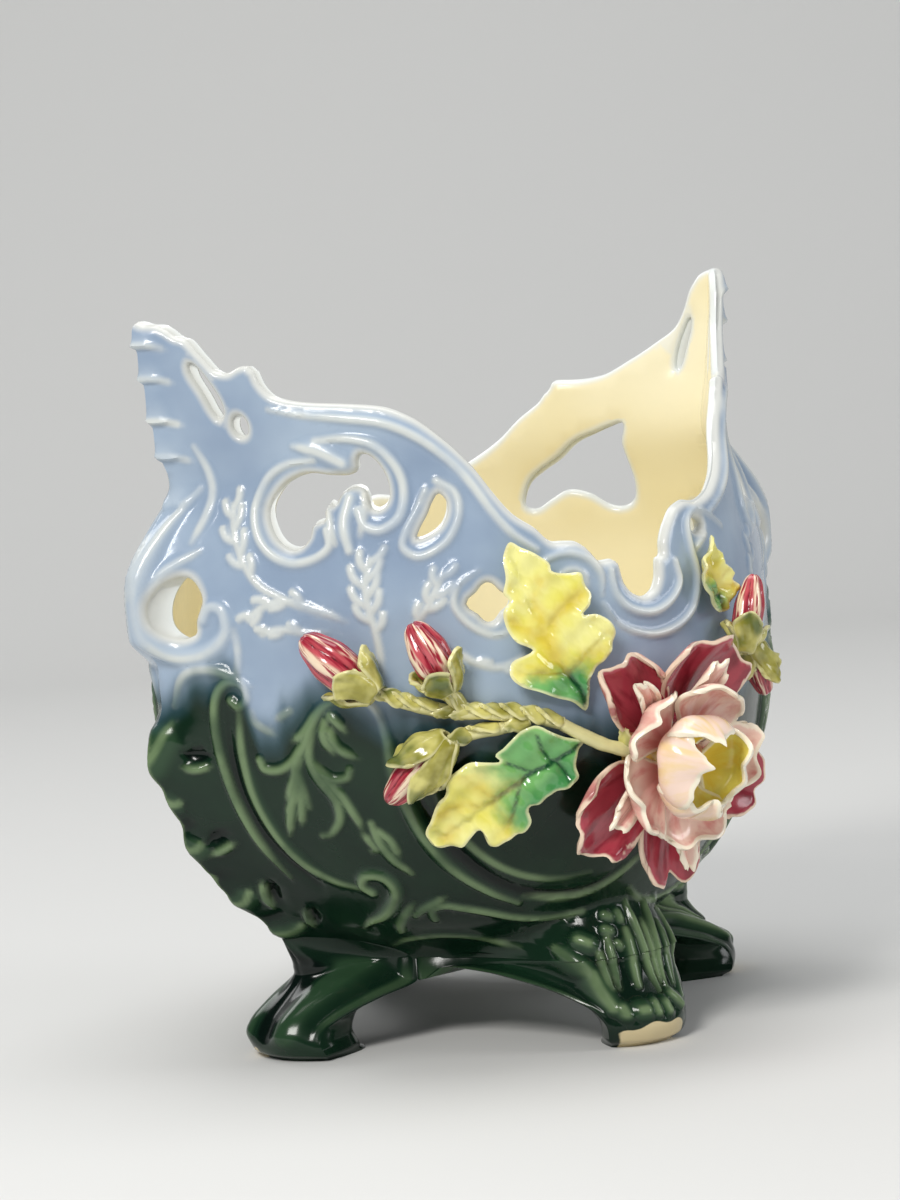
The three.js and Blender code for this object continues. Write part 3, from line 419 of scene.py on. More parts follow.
def sprig(stem, leaflets, length, first, last):  # a stem, from its tip, with leaves on both sides
    line = smoothLine(stem)
    items = [ridge(2.3, .8, (.7, .2), *stem)]
    for i, at in enumerate(np.linspace(first, last, leaflets)):
        k = min(int(at * (len(line) - 1)), len(line) - 2)
        ahead = (line[k] - line[k + 1]) / np.linalg.norm(line[k] - line[k + 1])
        across = np.array([-ahead[1], ahead[0]]) * (1 if i % 2 else -1)
        size = length * (.75 + .35 * math.sin(math.pi * (i + 1) / (leaflets + 1)))
        near = line[k] + (ahead * .45 + across * .36) * size
        far = line[k] + (ahead * 1.15 + across * .5) * size
        items.append(ridge(4, .95, (.5, 0), line[k], near, far))
    return items


# sprigs between the windows
leftSprigs = [
    sprig([(-118, 188), (-115.5, 180), (-110, 169.5), (-104, 162), (-96, 157.2), (-88, 153),
           (-79, 149)], 7, 7.5, .04, .42),
    sprig([(-107, 151.5), (-101.5, 155.5), (-94, 156.5), (-86, 153), (-79, 149)], 5, 5.5, .08, .6),
    sprig([(-103, 146.5), (-97, 147.5), (-90, 146), (-84, 146)], 3, 4.5, .15, .6),
    sprig([(-73, 168), (-74, 160.5), (-73, 152), (-71.8, 144), (-71, 132)], 9, 7.5, .06, .72),
    sprig([(-54.5, 162), (-57, 155), (-60, 149.5), (-64, 143)], 6, 6, .06, .75),
    sprig([(-36, 133), (-42, 131), (-48, 133), (-53, 138)], 2, 4, .3, .7),
    sprig([(118, 189), (117, 179), (112, 164), (104, 154), (96, 149), (84, 146)], 6, 6.5, .04, .45),
    sprig([(62, 160), (61, 152), (58, 145), (52, 138)], 5, 6, .06, .75),
]
leftAcanthus = [
    # acanthus spray beside the prow leaf
    ridge(3.2, 1.2, (.3, .3), (-84, 124), (-89, 120), (-94, 110), (-98, 103), (-97.5, 96),
          (-97.2, 88.5)),
    ridge(2.8, 1.1, (.5, .3), (-96.5, 105), (-99.5, 98), (-103, 92)),
    ridge(3, 1.2, (.6, .2), (-98, 99), (-101.5, 91), (-106.8, 79)),
    ridge(2.4, 1, (.6, .2), (-100, 93), (-104.5, 86.5)),
    ridge(2.4, 1, (.6, .2), (-98.3, 95), (-99.5, 88), (-101.5, 82.5)),
    ridge(2.2, .9, (.5, .2), (-90, 119), (-94, 113.5), (-97.5, 111)),
    ridge(2.4, 1, (.5, .9), (-95, 109), (-99, 104), (-103.5, 101.5), (-108, 102), (-109, 105)),
    ridge(3.2, 1.2, (.4, .3), (-91, 116), (-93.5, 106), (-92, 98.5), (-88.5, 91), (-89, 84),
          (-93, 79), (-96, 78.3)),
    ridge(2.2, .9, (.4, .8), (-92.5, 103), (-88.5, 98), (-84.3, 98), (-83, 100.5)),
    ridge(2.8, 1.1, (.5, .2), (-90, 98.5), (-86.5, 92), (-84.3, 85), (-83.6, 80)),
    ridge(3.2, 1.1, (.5, .3), (-87.5, 117), (-88.3, 112), (-86.5, 106.5)),
    ridge(2.6, 1, (.5, .2), (-86.5, 114), (-85, 108), (-80, 104)),
    ridge(2.4, .9, (.5, .3), (-86, 119), (-83.5, 115.5), (-82.5, 113.5)),
    ridge(2.2, .8, (.5, .3), (-97, 121), (-101, 118.5)),
    ridge(1.8, .6, (.3, .5), (-103, 113.5), (-108, 117.5), (-109, 121)),
    # small spray lower down
    ridge(3, 1, (.4, .3), (-80.5, 82), (-79.5, 75), (-77.5, 69), (-74, 63.5)),
    ridge(2.4, .9, (.4, .2), (-80, 80), (-76.5, 76), (-75.5, 70)),
    ridge(2, .7, (.3, .3), (-83.5, 78), (-81.5, 73), (-83, 72)),
    ridge(3, 1.1, (.8, .2), (-89, 41.5), (-86, 45), (-81.5, 49), (-77, 52.5)),
    ridge(2.6, 1, (.7, .2), (-79, 47.5), (-73.5, 50.8), (-66, 54)),
]
leftFrame = [
    # frame of the smooth field, its inner edge and the lines below it
    ridge(6, 1.9, (.4, .3), (-77, 124.5), (-73.3, 119), (-71.8, 110), (-71.6, 102), (-69.8, 89),
          (-66, 75), (-60, 63.5), (-51, 55), (-42, 50.3)),
    ridge(4, .7, (.2, .2), (-62.5, 97), (-60.5, 86), (-56, 75), (-49, 66), (-40, 60.5), (-29, 58),
          (-17, 59)),
    ridge(2, .6, (.3, .3), (-66.5, 90), (-65, 98), (-62, 104)),
    ridge(4, 1.4, (.9, .3), (-72.5, 46), (-72, 49.5), (-67.5, 51), (-62, 50), (-54, 48),
          (-42, 44.8), (-28, 43.5), (-17, 44.6)),
    ridge(2.2, .7, (.2, .3), (-40, 52), (-27, 50.5), (-14, 52), (-4, 57), (4, 64)),
    ridge(6, .9, (.2, .2), (-102, 34.5), (-90, 37.5), (-75, 39), (-60, 37.5), (-46, 33)),
]
leftHollows = [
    ridge(5.5, 1.3, (.3, .3), (-67, 97), (-65.5, 88), (-61.5, 76), (-55.5, 65.5), (-47, 57.5),
          (-37, 53.2), (-25, 52), (-13, 54), (-5, 60)),
    ridge(4, .5, (.2, .2), (-112, 40), (-100, 43), (-92, 44.5)),
]
rightLines = [
    ridge(4.2, 1.5, (.4, .3), (36, 172), (47, 176.8), (56, 181.8), (66, 188.8), (73, 196),
          (79, 202.8), (85, 208), (96, 209.5), (111, 215)),
    ridge(4.2, 1.6, (.4, .4), (113, 201), (111.8, 188), (110.5, 171), (103.5, 161.5), (95, 162.8),
          (89, 167.3), (82, 168.5), (75, 163.3), (68, 163), (65.3, 170), (68.5, 178.7), (77, 187.2),
          (87, 194.2), (99, 199.8)),
    ridge(3, 1.1, (.3, .5), (22, 160), (26.5, 163), (30.5, 165)),
    ridge(3.6, 1.5, (.4, .3), (78, 125), (73.3, 112), (71, 96), (66, 76), (58, 61), (45, 51.5)),
    ridge(2.8, 1, (.9, .3), (69, 49.5), (55, 48), (40, 44.5), (26, 43.5), (12, 45.2), (3, 50.5)),
    ridge(6, .9, (.2, .2), (102, 34.5), (90, 37.5), (75, 39), (60, 37.5), (46, 33)),
]


# ribs, lobes and knobs of a leg: places as (across, height) on its front face, on wall and foot
legLines = [
    ridge(3.6, 1.7, (.4, .3), (2, 46), (2.6, 35), (3, 25), (4, 17)),
    ridge(3.8, 1.7, (.8, .3), (10, 44), (9, 35), (8.2, 27), (7.6, 18)),
    ridge(2.4, 1, (.3, .3), (6.3, 39), (6, 30), (6, 19)),
    ridge(6, 1.1, (.5, .5), (-1.6, 37), (-2.6, 29), (-3.4, 20)),
    ridge(3, 1.5, (.6, .3), (-9, 35), (-9.6, 28), (-9.8, 20)),
    ridge(2.6, 1.2, (.5, .3), (-13, 31), (-12.8, 26), (-12, 20)),
    ridge(5.5, 1.3, (.5, .3), (13.6, 37), (13.2, 28), (12, 18)),
    ridge(3.4, 1.5, (.7, .3), (19, 40), (18.6, 31), (16.8, 23)),
    # lobed borders
    ridge(7, 1.5, (.5, .8), (-22, 33), (-19.5, 28.5), (-16.6, 24.5)),
    ridge(7, 1.6, (.7, .8), (-16.4, 24.8), (-15.2, 19), (-13.4, 13.5)),
    ridge(6.5, 1.5, (.5, .8), (23.5, 34), (21.3, 28.5), (18.4, 24.5)),
    ridge(6.5, 1.5, (.7, .8), (17.6, 24), (16.4, 19), (14.2, 13.5)),
    # knobs beside the ribs
    ridge(7, 2.2, (1, 1), (-17, 35.5), (-15, 34)),
    ridge(4.6, 1.7, (1, 1), (-8.8, 38), (-7.6, 37.4)),
    ridge(4.6, 1.6, (1, 1), (-7.2, 42.4), (-6, 41.8)),
    ridge(4, 1.4, (1, 1), (-2.6, 42.6), (-2.4, 40.6)),
    ridge(3.4, 1.3, (1, 1), (-6.2, 33.4), (-5.8, 32.4)),
    ridge(4.6, 1.6, (1, 1), (16.5, 44), (17.5, 43)),
    # row of knobs at the toes
    ridge(5.4, 1.8, (1, 1), (-11.4, 13.4), (-11, 11.6)),
    ridge(6.6, 2.1, (1, 1), (-6.2, 12.2), (-4.4, 12.2)),
    ridge(4.6, 1.8, (1, 1), (-.4, 13.6), (-.2, 11.2)),
    ridge(5, 1.9, (1, 1), (4, 13), (4.4, 11)),
    ridge(4.8, 1.9, (.9, .9), (7.8, 15.4), (11.4, 11.4)),
]


def onLeg(items):  # the part of each line that lies on the wall, as (s, h)
    kept = []
    for item in items:
        flat = smoothLine(item["line"], per=6)
        flat = flat[flat[:, 1] > wall["footHeight"] - 2.5]
        if len(flat) > 1:
            belly = wall["halfLength"] * lengthShare(np.maximum(flat[:, 1], wall["footHeight"]))
            s = np.arcsin(flat[:, 0] / belly) * wall["halfSpan"] * 2 / math.pi
            first, last = item["ends"]
            if item["line"][-1][1] <= wall["footHeight"]:
                last = 1  # it goes on down the foot
            kept.append(dict(item, line=np.column_stack([s, flat[:, 1]]), ends=(first, last)))
    return kept


def fuller(items, wider=1.6, higher=1.25):
    return [dict(item, width=item["width"] * wider, height=item["height"] * higher)
            for item in items]


def mirroredLines(items):
    return [dict(item, line=mirrored(item["line"])) for item in items]


def placedLines(items, side):  # each raised line as places on the wall
    placed = []
    for item in items:
        flat = smoothLine(item["line"], per=6)
        placed.append(dict(item, places=wallFace(flat[:, 0], flat[:, 1], side)))
    return placed


relief = {
    "reach": .68, "fullness": 1.15, "taper": .35, "overlap": .12, "crestWidth": 1.6, "margin": 6,
    "thinnest": .2, "lowest": .25,
}


def raisedBy(points, items):  # how far lines lift these points, how near they are, and their crests
    lift, crest = np.zeros(len(points)), np.zeros(len(points))
    nearness = np.full(len(points), 1e9)
    for item in items:
        reach = item["width"] * relief["reach"]
        low = item["places"].min(0) - reach - relief["margin"]
        high = item["places"].max(0) + reach + relief["margin"]
        near = np.all((points > low) & (points < high), axis=1)
        if not near.any():
            continue
        d, share = toLine(points[near], item["places"])
        tapers = [end + (1 - end) * smoothStep(0, relief["taper"], along)
                  for end, along in zip(item["ends"], (share, 1 - share))]
        taper = np.minimum(*tapers)
        half = reach * (relief["thinnest"] + (1 - relief["thinnest"]) * taper)
        rise = item["height"] * relief["fullness"]
        rise = rise * (relief["lowest"] + (1 - relief["lowest"]) * taper)
        rise = rise * (1 - smoothStep(.05, 1, d / half))
        lift[near] = np.maximum(lift[near], rise) + relief["overlap"] * np.minimum(lift[near], rise)
        nearness[near] = np.minimum(nearness[near], d - half)
        peak = np.exp(-(d / relief["crestWidth"]) ** 2) * smoothStep(0, .7, taper + .1)
        crest[near] = np.maximum(crest[near], peak)
    return lift, nearness, crest


# height at which the green glaze gives way to blue, along the wall
blueFrom = throughKnots([
    (-170, 124), (-140, 130), (-125, 133), (-113, 129), (-108, 114), (-103, 114), (-98, 122),
    (-90, 123), (-80, 121), (-60, 115), (-40, 109), (0, 108), (60, 116), (100, 132), (125, 136),
    (170, 132)])


def scaleRise(s, h):  # each scale of the spire is proud at its lower edge
    edges = np.array(scales["edges"], float)
    k = np.clip(np.searchsorted(edges, h) - 1, 0, len(edges) - 2)
    down = np.clip((edges[k + 1] - h) / (edges[k + 1] - edges[k]), 0, 1)
    rise = scales["rise"] * down ** 1.5 * smoothStep(1, .93, down)
    return rise * smoothStep(*scales["along"], np.abs(s)) * smoothStep(*scales["from"], h)


def roundOver(d, radius):  # how far a rounded edge falls at distance d from it
    t = np.clip(1 - d / radius, 0, 1)
    return radius * (1 - np.sqrt(1 - t * t))


body = {
    "front": {"fineStep": 1.05, "mediumStep": 1.75, "coarseStep": 3.0, "edgeStep": 0.95},
    "back": {"fineStep": 1.4, "mediumStep": 2.2, "coarseStep": 4.0, "edgeStep": 1.25},
    "innerStep": 5.0, "fineWithin": .8, "mediumWithin": 3.2, "edgeRadius": 2.3, "keelStep": 1.3,
    # keelHighlight sets how strong the painted highlight on the keel's edge is
    "bottomCount": 241, "rows": (.3, .85, 1.6), "farFromEdge": 6, "keelHighlight": .85,
    # past this length the keel's relief is pressed flatter
    "lengthLimit": 131.0, "limitShare": .62,
}
everywhere = 1e10


def staggered(columns, rows, shift):  # grid points, every second row moved aside
    return np.vstack([np.column_stack([columns + shift * (i % 2), np.full(len(columns), h)])
                      for i, h in enumerate(rows)])


def hexPoints(step):
    rows = np.arange(wall["footHeight"] + step / 2, wall["height"], step * math.sqrt(3) / 2)
    columns = np.arange(-halfSpanA + step / 2, halfSpanA, step)
    return staggered(columns, rows, step / 2)


def wallOutline(edgeStep, low):  # the flattened wall's edge, from its bottom, and where its rim is
    rim = rimLine(edgeStep)
    keel = np.linspace(low, wall["height"], int((wall["height"] - low) / body["keelStep"]) + 1)
    bottom = np.linspace(-halfSpanA, halfSpanA, body["bottomCount"])
    floor = np.column_stack([bottom, np.full(len(bottom), float(low))])
    right = np.column_stack([np.full(len(keel), halfSpanA), keel])
    left = right[::-1] * (-1, 1)
    outline = np.vstack([floor[:-1], right[:-1], rim[::-1][:-1], left[:-1]])
    rimStart = len(floor) + len(right) - 2
    return outline, rim, slice(rimStart, rimStart + len(rim))


def distanceToEdges(points, lines):
    best = np.full(len(points), 1e9)
    for line in lines:
        for start in range(0, len(line) - 1, 24):
            part = line[start:start + 25]
            low, high = part.min(0) - body["farFromEdge"], part.max(0) + body["farFromEdge"]
            near = np.all((points > low) & (points < high), axis=1)
            if near.any():
                best[near] = np.minimum(best[near], toLine(points[near], part)[0])
    return best


def edgeRows(line, closed):  # points beside an edge, on both sides, with their distance from it
    if closed:
        step = np.roll(line, -1, axis=0) - np.roll(line, 1, axis=0)
    else:
        step = np.gradient(line, axis=0)
    across = np.column_stack([-step[:, 1], step[:, 0]]) / np.linalg.norm(step, axis=1)[:, None]
    return [(line + sign * d * across, d) for d in body["rows"] for sign in (-1, 1)]


def flatWall(edgeStep, low, steps, raised, side):
    outline, rim, rimPart = wallOutline(edgeStep, low)
    holes = openings(edgeStep)
    edges = [rim] + [np.vstack([hole, hole[0]]) for hole in holes]

    def inField(points, margin):
        keep = (np.abs(points[:, 0]) < halfSpanA - margin) & (points[:, 1] > low + margin)
        keep &= insideOutline(points, outline)
        for hole in holes:
            keep &= ~insideOutline(points, hole)
        return keep

    parts = [outline] + holes
    for line, closed in [(rim, False)] + [(hole, True) for hole in holes]:
        for row, d in edgeRows(line, closed):
            row = row[np.abs(distanceToEdges(row, edges) - d) < .05]
            parts.append(row[inField(row, .5)])
    for step, nearest, farthest in steps:
        grid = hexPoints(step)
        grid = grid[inField(grid, step * .45)]
        away = distanceToEdges(grid, edges)
        places = wallFace(toS(grid[:, 0]), grid[:, 1], side)
        near = np.minimum(raisedBy(places, raised)[1], away - 1.5)
        clear = away > body["rows"][-1] + step * .5
        parts.append(grid[(near >= nearest) & (near < farthest) & clear])
    loops, pairs, start = [], [], 0
    for loop in [outline] + holes:
        ids = start + np.arange(len(loop))
        loops.append(ids)
        pairs += list(zip(ids.tolist(), np.roll(ids, -1).tolist()))
        start += len(loop)
    found = delaunay_2d_cdt([Vector(p) for p in np.vstack(parts)], pairs, [], 0, 1e-4)
    flat = np.array([tuple(v) for v in found[0]])
    faces = np.array(found[2])
    faces = faces[inField(flat[faces].mean(1), -1)]
    a, b, c = (flat[faces[:, k]] for k in range(3))
    turned = (b - a)[:, 0] * (c - a)[:, 1] - (b - a)[:, 1] * (c - a)[:, 0] < 0
    faces[turned] = faces[turned][:, ::-1]
    newId = {old: new for new, olds in enumerate(found[3]) for old in olds}
    loops = [np.array([newId[i] for i in ids]) for ids in loops]
    d = distanceToEdges(flat, edges)
    for ids in [loops[0][rimPart]] + loops[1:]:
        d[ids] = 0
    return flat, faces, loops, rimPart, d


def wallSide(side):  # the outer and inner faces of one side, joined round the rim and the openings
    size = body["front" if side < 0 else "back"]
    lines = prowLines + mirroredLines(prowLines) + leftLines + leftFrame + rightLines
    lines = lines + onLeg(legLines)
    lines += fuller(leftAcanthus + mirroredLines(leftAcanthus))
    lines += [part for items in leftSprigs for part in items]
    raised = placedLines(lines, side)
    sunk = placedLines(prowHollows + mirroredLines(prowHollows) + leftHollows, side)
    fine, medium = body["fineWithin"], body["mediumWithin"]
    steps = ((size["fineStep"], -everywhere, fine), (size["mediumStep"], fine, medium),
             (size["coarseStep"], medium, everywhere))
    flat, faces, loops, rimPart, d = flatWall(
        size["edgeStep"], wall["footHeight"], steps, raised, side)
    s, h = toS(flat[:, 0]), flat[:, 1]
    face = wallFace(s, h, side)
    (lift, _, crest), hollow = raisedBy(face, raised), raisedBy(face, sunk)[0]
    lift = lift + scaleRise(s, h) * smoothStep(0, 3, d)
    # painted highlight: pale glaze colour along the leaf's frilled edge on the keel
    frill = smoothStep(156, 169, np.abs(s)) * smoothStep(34, 44, h) * (1 - smoothStep(108, 122, h))
    crest = np.maximum(crest, body["keelHighlight"] * frill)
    height = lift - hollow - roundOver(d, body["edgeRadius"])
    outer = face + wallNormal(s, h, side) * height[:, None]
    past = np.maximum(np.abs(outer[:, 0]) - body["lengthLimit"], 0)
    outer[:, 0] -= np.sign(outer[:, 0]) * past * body["limitShare"]
    looks = np.column_stack([lift - hollow, d, 0 * d, h - blueFrom(s), crest])

    steps = ((body["innerStep"], -everywhere, everywhere),)
    flatIn, facesIn, loopsIn, rimIn, dIn = flatWall(
        size["edgeStep"], wall["floor"], steps, [], side)
    s, h = toS(flatIn[:, 0]), flatIn[:, 1]
    fall = roundOver(dIn, body["edgeRadius"])[:, None]
    inner = wallFace(s, h, side, True) + wallNormal(s, h, side, True) * fall
    looksIn = np.column_stack([0 * dIn, dIn, 0 * dIn + 1, 0 * dIn, 0 * dIn])

    shift = len(outer)
    polygons = [tuple(f) for f in (faces if side < 0 else faces[:, ::-1])]
    polygons += [tuple(f) for f in (facesIn[:, ::-1] if side < 0 else facesIn) + shift]
    joins = [(loops[0][rimPart], loopsIn[0][rimIn] + shift, False)]
    joins += [(a, b + shift, True) for a, b in zip(loops[1:], loopsIn[1:])]
    for a, b, closed in joins:
        for i in range(len(a) - (0 if closed else 1)):
            j = (i + 1) % len(a)
            polygons.append((a[i], a[j], b[j], b[i]))
    bottoms = (loops[0][:body["bottomCount"]], loopsIn[0][:body["bottomCount"]] + shift)
    return np.vstack([outer, inner]), polygons, np.vstack([looks, looksIn]), bottoms


def wholeBody():
    front, back = wallSide(-1), wallSide(1)
    shift = len(front[0])
    polygons = front[1] + [tuple(np.array(p) + shift) for p in back[1]]
    for k in range(2):  # underside, and the floor inside
        a, b = front[3][k], back[3][k] + shift
        for i in range(len(a) - 1):
            polygons.append((a[i], a[i + 1], b[i + 1], b[i]))
    return np.vstack([front[0], back[0]]), polygons, np.vstack([front[2], back[2]])


mergeWithin = .00001  # metres, where two meshed sides only nearly meet
samePlace = 1e-8
sharpFrom = math.radians(55)


def closeSeams(piece, distance):
    work = bmesh.new()
    work.from_mesh(piece.data)
    bmesh.ops.remove_doubles(work, verts=work.verts, dist=distance)
    bmesh.ops.dissolve_degenerate(work, edges=work.edges, dist=1e-7)
    bmesh.ops.recalc_face_normals(work, faces=work.faces)
    openEdges = sum(len(edge.link_faces) != 2 for edge in work.edges)
    work.to_mesh(piece.data)
    work.free()
    piece.data.set_sharp_from_angle(angle=sharpFrom)
    if openEdges:
        print(piece.name, "has open edges:", openEdges)


def settled(piece, nodes, slot):
    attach(piece, "root")
    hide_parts(*nodes)


def finished(piece, nodes, slot, distance=samePlace):
    closeSeams(piece, distance)
    settled(piece, nodes, slot)


# node helpers

def linear(r, g, b):  # a colour given as 0 to 255 values on screen
    return [((v / 255 + .055) / 1.055) ** 2.4 if v > 10 else v / 255 / 12.92
            for v in (r, g, b)] + [1]


def addNode(tree, kind, inputs=(), **settings):
    node = tree.nodes.new(kind)
    for key, value in settings.items():
        setattr(node, key, value)
    for key, value in dict(inputs).items():
        if isinstance(value, bpy.types.NodeSocket):
            tree.links.new(value, node.inputs[key])
        else:
            node.inputs[key].default_value = value
    return node


def calc(tree, operation, *values):
    node = addNode(tree, "ShaderNodeMath", enumerate(values), operation=operation)
    return node.outputs[0]


def ramp(tree, value, low, high, start=0.0, end=1.0):
    inputs = {"Value": value, "From Min": low, "From Max": high, "To Min": start, "To Max": end}
    return addNode(tree, "ShaderNodeMapRange", inputs, interpolation_type="SMOOTHSTEP").outputs[0]


def mixed(tree, factor, a, b):
    return addNode(tree, "ShaderNodeMix", {0: factor, 6: a, 7: b}, data_type="RGBA").outputs[2]


def times(tree, a, b):
    return calc(tree, "MULTIPLY", a, b)


def mottled(tree, scale, detail, low, high, one, other, seed=0.0):  # clouds of one glaze in another
    return mixed(tree, ramp(tree, noise(tree, scale, detail, seed=seed), low, high), one, other)


def uneven(tree, value, amount, *grain):  # a value moved up and down by noise
    off = calc(tree, "SUBTRACT", noise(tree, *grain), .5)
    return calc(tree, "ADD", value, times(tree, off, amount))


def attribute(tree, name):
    return addNode(tree, "ShaderNodeAttribute", attribute_name=name).outputs["Fac"]


def noise(tree, scale, detail=2, stretch=(1, 1, 1), seed=0.0):
    where = addNode(tree, "ShaderNodeTexCoord").outputs["Object"]
    inputs = {"Vector": where, "Scale": stretch, "Location": (seed, seed * .7, 0)}
    inputs = {"Vector": addNode(tree, "ShaderNodeMapping", inputs).outputs[0], "Scale": scale,
              "Detail": detail}
    return addNode(tree, "ShaderNodeTexNoise", inputs).outputs["Fac"]


def objectZ(tree):
    where = addNode(tree, "ShaderNodeTexCoord").outputs["Object"]
    return addNode(tree, "ShaderNodeSeparateXYZ", {0: where}).outputs[2]


def streaks(tree, across, along, up, scale, detail):  # long marks that follow a petal
    inputs = {0: across, 1: along, 2: up}
    inputs = {"Vector": addNode(tree, "ShaderNodeCombineXYZ", inputs).outputs[0], "Scale": scale,
              "Detail": detail}
    return addNode(tree, "ShaderNodeTexNoise", inputs).outputs["Fac"]


def glazeMaterial(name, paint, roughness=.18, coat=.3, shine=.4):  # paint makes the colour
    material = bpy.data.materials.new(name)
    material.use_nodes = True
    tree = material.node_tree
    shader = tree.nodes["Principled BSDF"].inputs
    shader["Roughness"].default_value = roughness
    shader["Coat Weight"].default_value = coat
    shader["Specular IOR Level"].default_value = shine
    shader["Coat Roughness"].default_value = .03
    inputs = {"Height": noise(tree, 90), "Strength": .12, "Distance": .002}
    tree.links.new(addNode(tree, "ShaderNodeBump", inputs).outputs[0], shader["Normal"])
    tree.links.new(paint(tree), shader["Base Color"])
    return material


potGlazes = {
    "bottleGreen": linear(8, 29, 19), "mossGreen": linear(19, 44, 28),
    # bareGreenAndHighlight: green glaze run thin on crests, and the painted highlight on the keel's
    # edge
    "deepGreen": linear(4, 17, 12), "thinGreen": linear(52, 80, 54),
    "bareGreenAndHighlight": linear(122, 144, 104), "seaGreen": linear(62, 92, 104),
    "blue": linear(138, 156, 179), "lightBlue": linear(161, 178, 196),
    "deepBlue": linear(112, 134, 164), "thinBlue": linear(190, 202, 212),
    "bareBlue": linear(216, 218, 210), "white": linear(221, 220, 210),
    "cream": linear(237, 226, 184), "lightCream": linear(244, 236, 204),
    "innerRim": linear(226, 230, 228), "clay": linear(206, 190, 150), "bareAndHighlightMost": .75,
    "thinMost": .55, "dripLength": 26,
}


def thinnedAndHighlit(tree):  # where the glaze has run off a crest, and the painted highlight on the keel's edge
    crest = ramp(tree, attribute(tree, "crest"), .1, 1, 0, potGlazes["bareAndHighlightMost"])
    return times(tree, crest, ramp(tree, noise(tree, 45, 3, seed=8), .32, .58, .3, 1))


# glaze that is deep in the hollows and pale on the ridges, with the painted highlight on the keel's
# edge
def pooled(tree, relief, face, deepest, deep, highest, thin, bare):
    face = mixed(tree, ramp(tree, relief, -.1, deepest), face, potGlazes[deep])
    high = ramp(tree, relief, *highest, 0, potGlazes["thinMost"])
    face = mixed(tree, high, face, potGlazes[thin])
    return mixed(tree, thinnedAndHighlit(tree), face, potGlazes[bare])


def greenGlaze(tree, relief):
    green = mottled(tree, 26, 3, .3, .7, potGlazes["bottleGreen"], potGlazes["mossGreen"])
    return pooled(tree, relief, green, -1.2, "deepGreen", (.05, 1.4), "thinGreen", "bareGreenAndHighlight")


def bodyPaint(tree):
    relief, edge = attribute(tree, "relief"), attribute(tree, "edge")
    rim = ramp(tree, edge, .3, 3.2, 1, 0)
    blue = mottled(tree, 26, 3, .3, .7, potGlazes["blue"], potGlazes["lightBlue"])
    blue = pooled(tree, relief, blue, -.9, "deepBlue", (.2, 1.9), "thinBlue", "bareBlue")
    blue = mixed(tree, times(tree, rim, .8), blue, potGlazes["white"])
    level = uneven(tree, attribute(tree, "level"), potGlazes["dripLength"], 1, 2, (60, 60, 16))
    outside = mixed(tree, ramp(tree, level, -5, 7), greenGlaze(tree, relief), blue)
    between = times(tree, ramp(tree, level, -11, -1), ramp(tree, level, 10, -1, 0, .5))
    outside = mixed(tree, between, outside, potGlazes["seaGreen"])
    cream = mottled(tree, 12, 2, .3, .7, potGlazes["cream"], potGlazes["lightCream"])
    inside = mixed(tree, rim, cream, potGlazes["innerRim"])
    return mixed(tree, attribute(tree, "inside"), outside, inside)


verts, polygons, looks = wholeBody()
looks = dict(zip(("relief", "edge", "inside", "level", "crest"), looks.T))
bodyGlaze = glazeMaterial("body glaze", bodyPaint, coat=.08, shine=.3)
potBody = newPiece("pot_wall", verts, polygons, bodyGlaze, looks)
finished(potBody, ["pot_body"], "body_glaze", mergeWithin)
print("wall built:", len(potBody.data.polygons), "faces")


# feet: each hangs from a quarter of the wall's lower edge, climbs a little way up the wall
# and gathers to a toe

foot = {
    "height": 29, "span": 76, "rows": 96, "columns": 161, "innerColumns": 25, "climb": 17,
    "archGap": .3, "archDrop": 7, "prowDepth": 30, "sideDepth": 20, "topDepth": 3,
    "climbDepth": 2.2, "climbNarrowing": .72, "prowSwell": 6.5, "behindWall": 1.6, "borderRise": .9,
    "troughDepth": 2.6, "lobeRise": 2.2,
}
prowTurns = (0, 180)
prowReachAt = throughKnots([
    (0, 92), (.08, 95.5), (.25, 97), (.45, 94.5), (.65, 89.5), (.85, 83), (1, 77.5)])
prowHalfAt = throughKnots([(0, 19.5), (.1, 22), (.3, 21), (.55, 19.5), (.8, 21), (1, 24)])
footSpreadAt = throughKnots([(0, 0), (.4, .02), (.62, .14), (.84, .48), (1, 1)])
footFan = throughKnots([(-1, -1), (-.7, -.44), (-.35, -.2), (0, 0), (.35, .2), (.7, .44), (1, 1)])


def footEdge(turn, q, h):  # place and normal of the wall above a foot, q from -1 to 1 across it
    if turn not in prowTurns:
        side = 1 if turn == 90 else -1
        s = -side * footFan(q) * (wall["halfSpan"] - foot["span"] - foot["archGap"])
        return wallFace(s, h, side), wallNormal(s, h, side)
    top = foot["height"] + foot["climb"]
    narrow = 1 - foot["climbNarrowing"] * smoothStep(foot["height"], top, h)
    end = 1 if turn == 0 else -1
    s = end * (wall["halfSpan"] - foot["span"] * np.abs(q) * narrow)
    side = np.where(q * end >= 0, 1, -1)
    place, normal = np.zeros((len(q), 3)), np.zeros((len(q), 3))
    for one in (-1, 1):
        here = side == one
        if here.any():
            place[here] = wallFace(s[here], h[here], one)
            normal[here] = wallNormal(s[here], h[here], one)
    return place, normal


flatLegLines = [dict(item, places=smoothLine(item["line"], per=6)) for item in legLines]


def directions(turn):
    angle = math.radians(turn)
    return (np.array([math.cos(angle), math.sin(angle), 0]),
            np.array([-math.sin(angle), math.cos(angle), 0]))


def bump(q, middle, width):
    return np.exp(-((q - middle) / width) ** 2)


def plainFootRise(q, v):  # a trough down the middle between two lobes
    trough = bump(q, .05, .22) * foot["troughDepth"] * smoothStep(.12, .35, v)
    trough = trough * (1 - smoothStep(1.1, 1.6, v))
    lobes = (bump(q, -.45, .2) + bump(q, .52, .2)) * foot["lobeRise"]
    return lobes * smoothStep(.1, .35, v) * (1 - smoothStep(.9, 1.4, v)) - trough


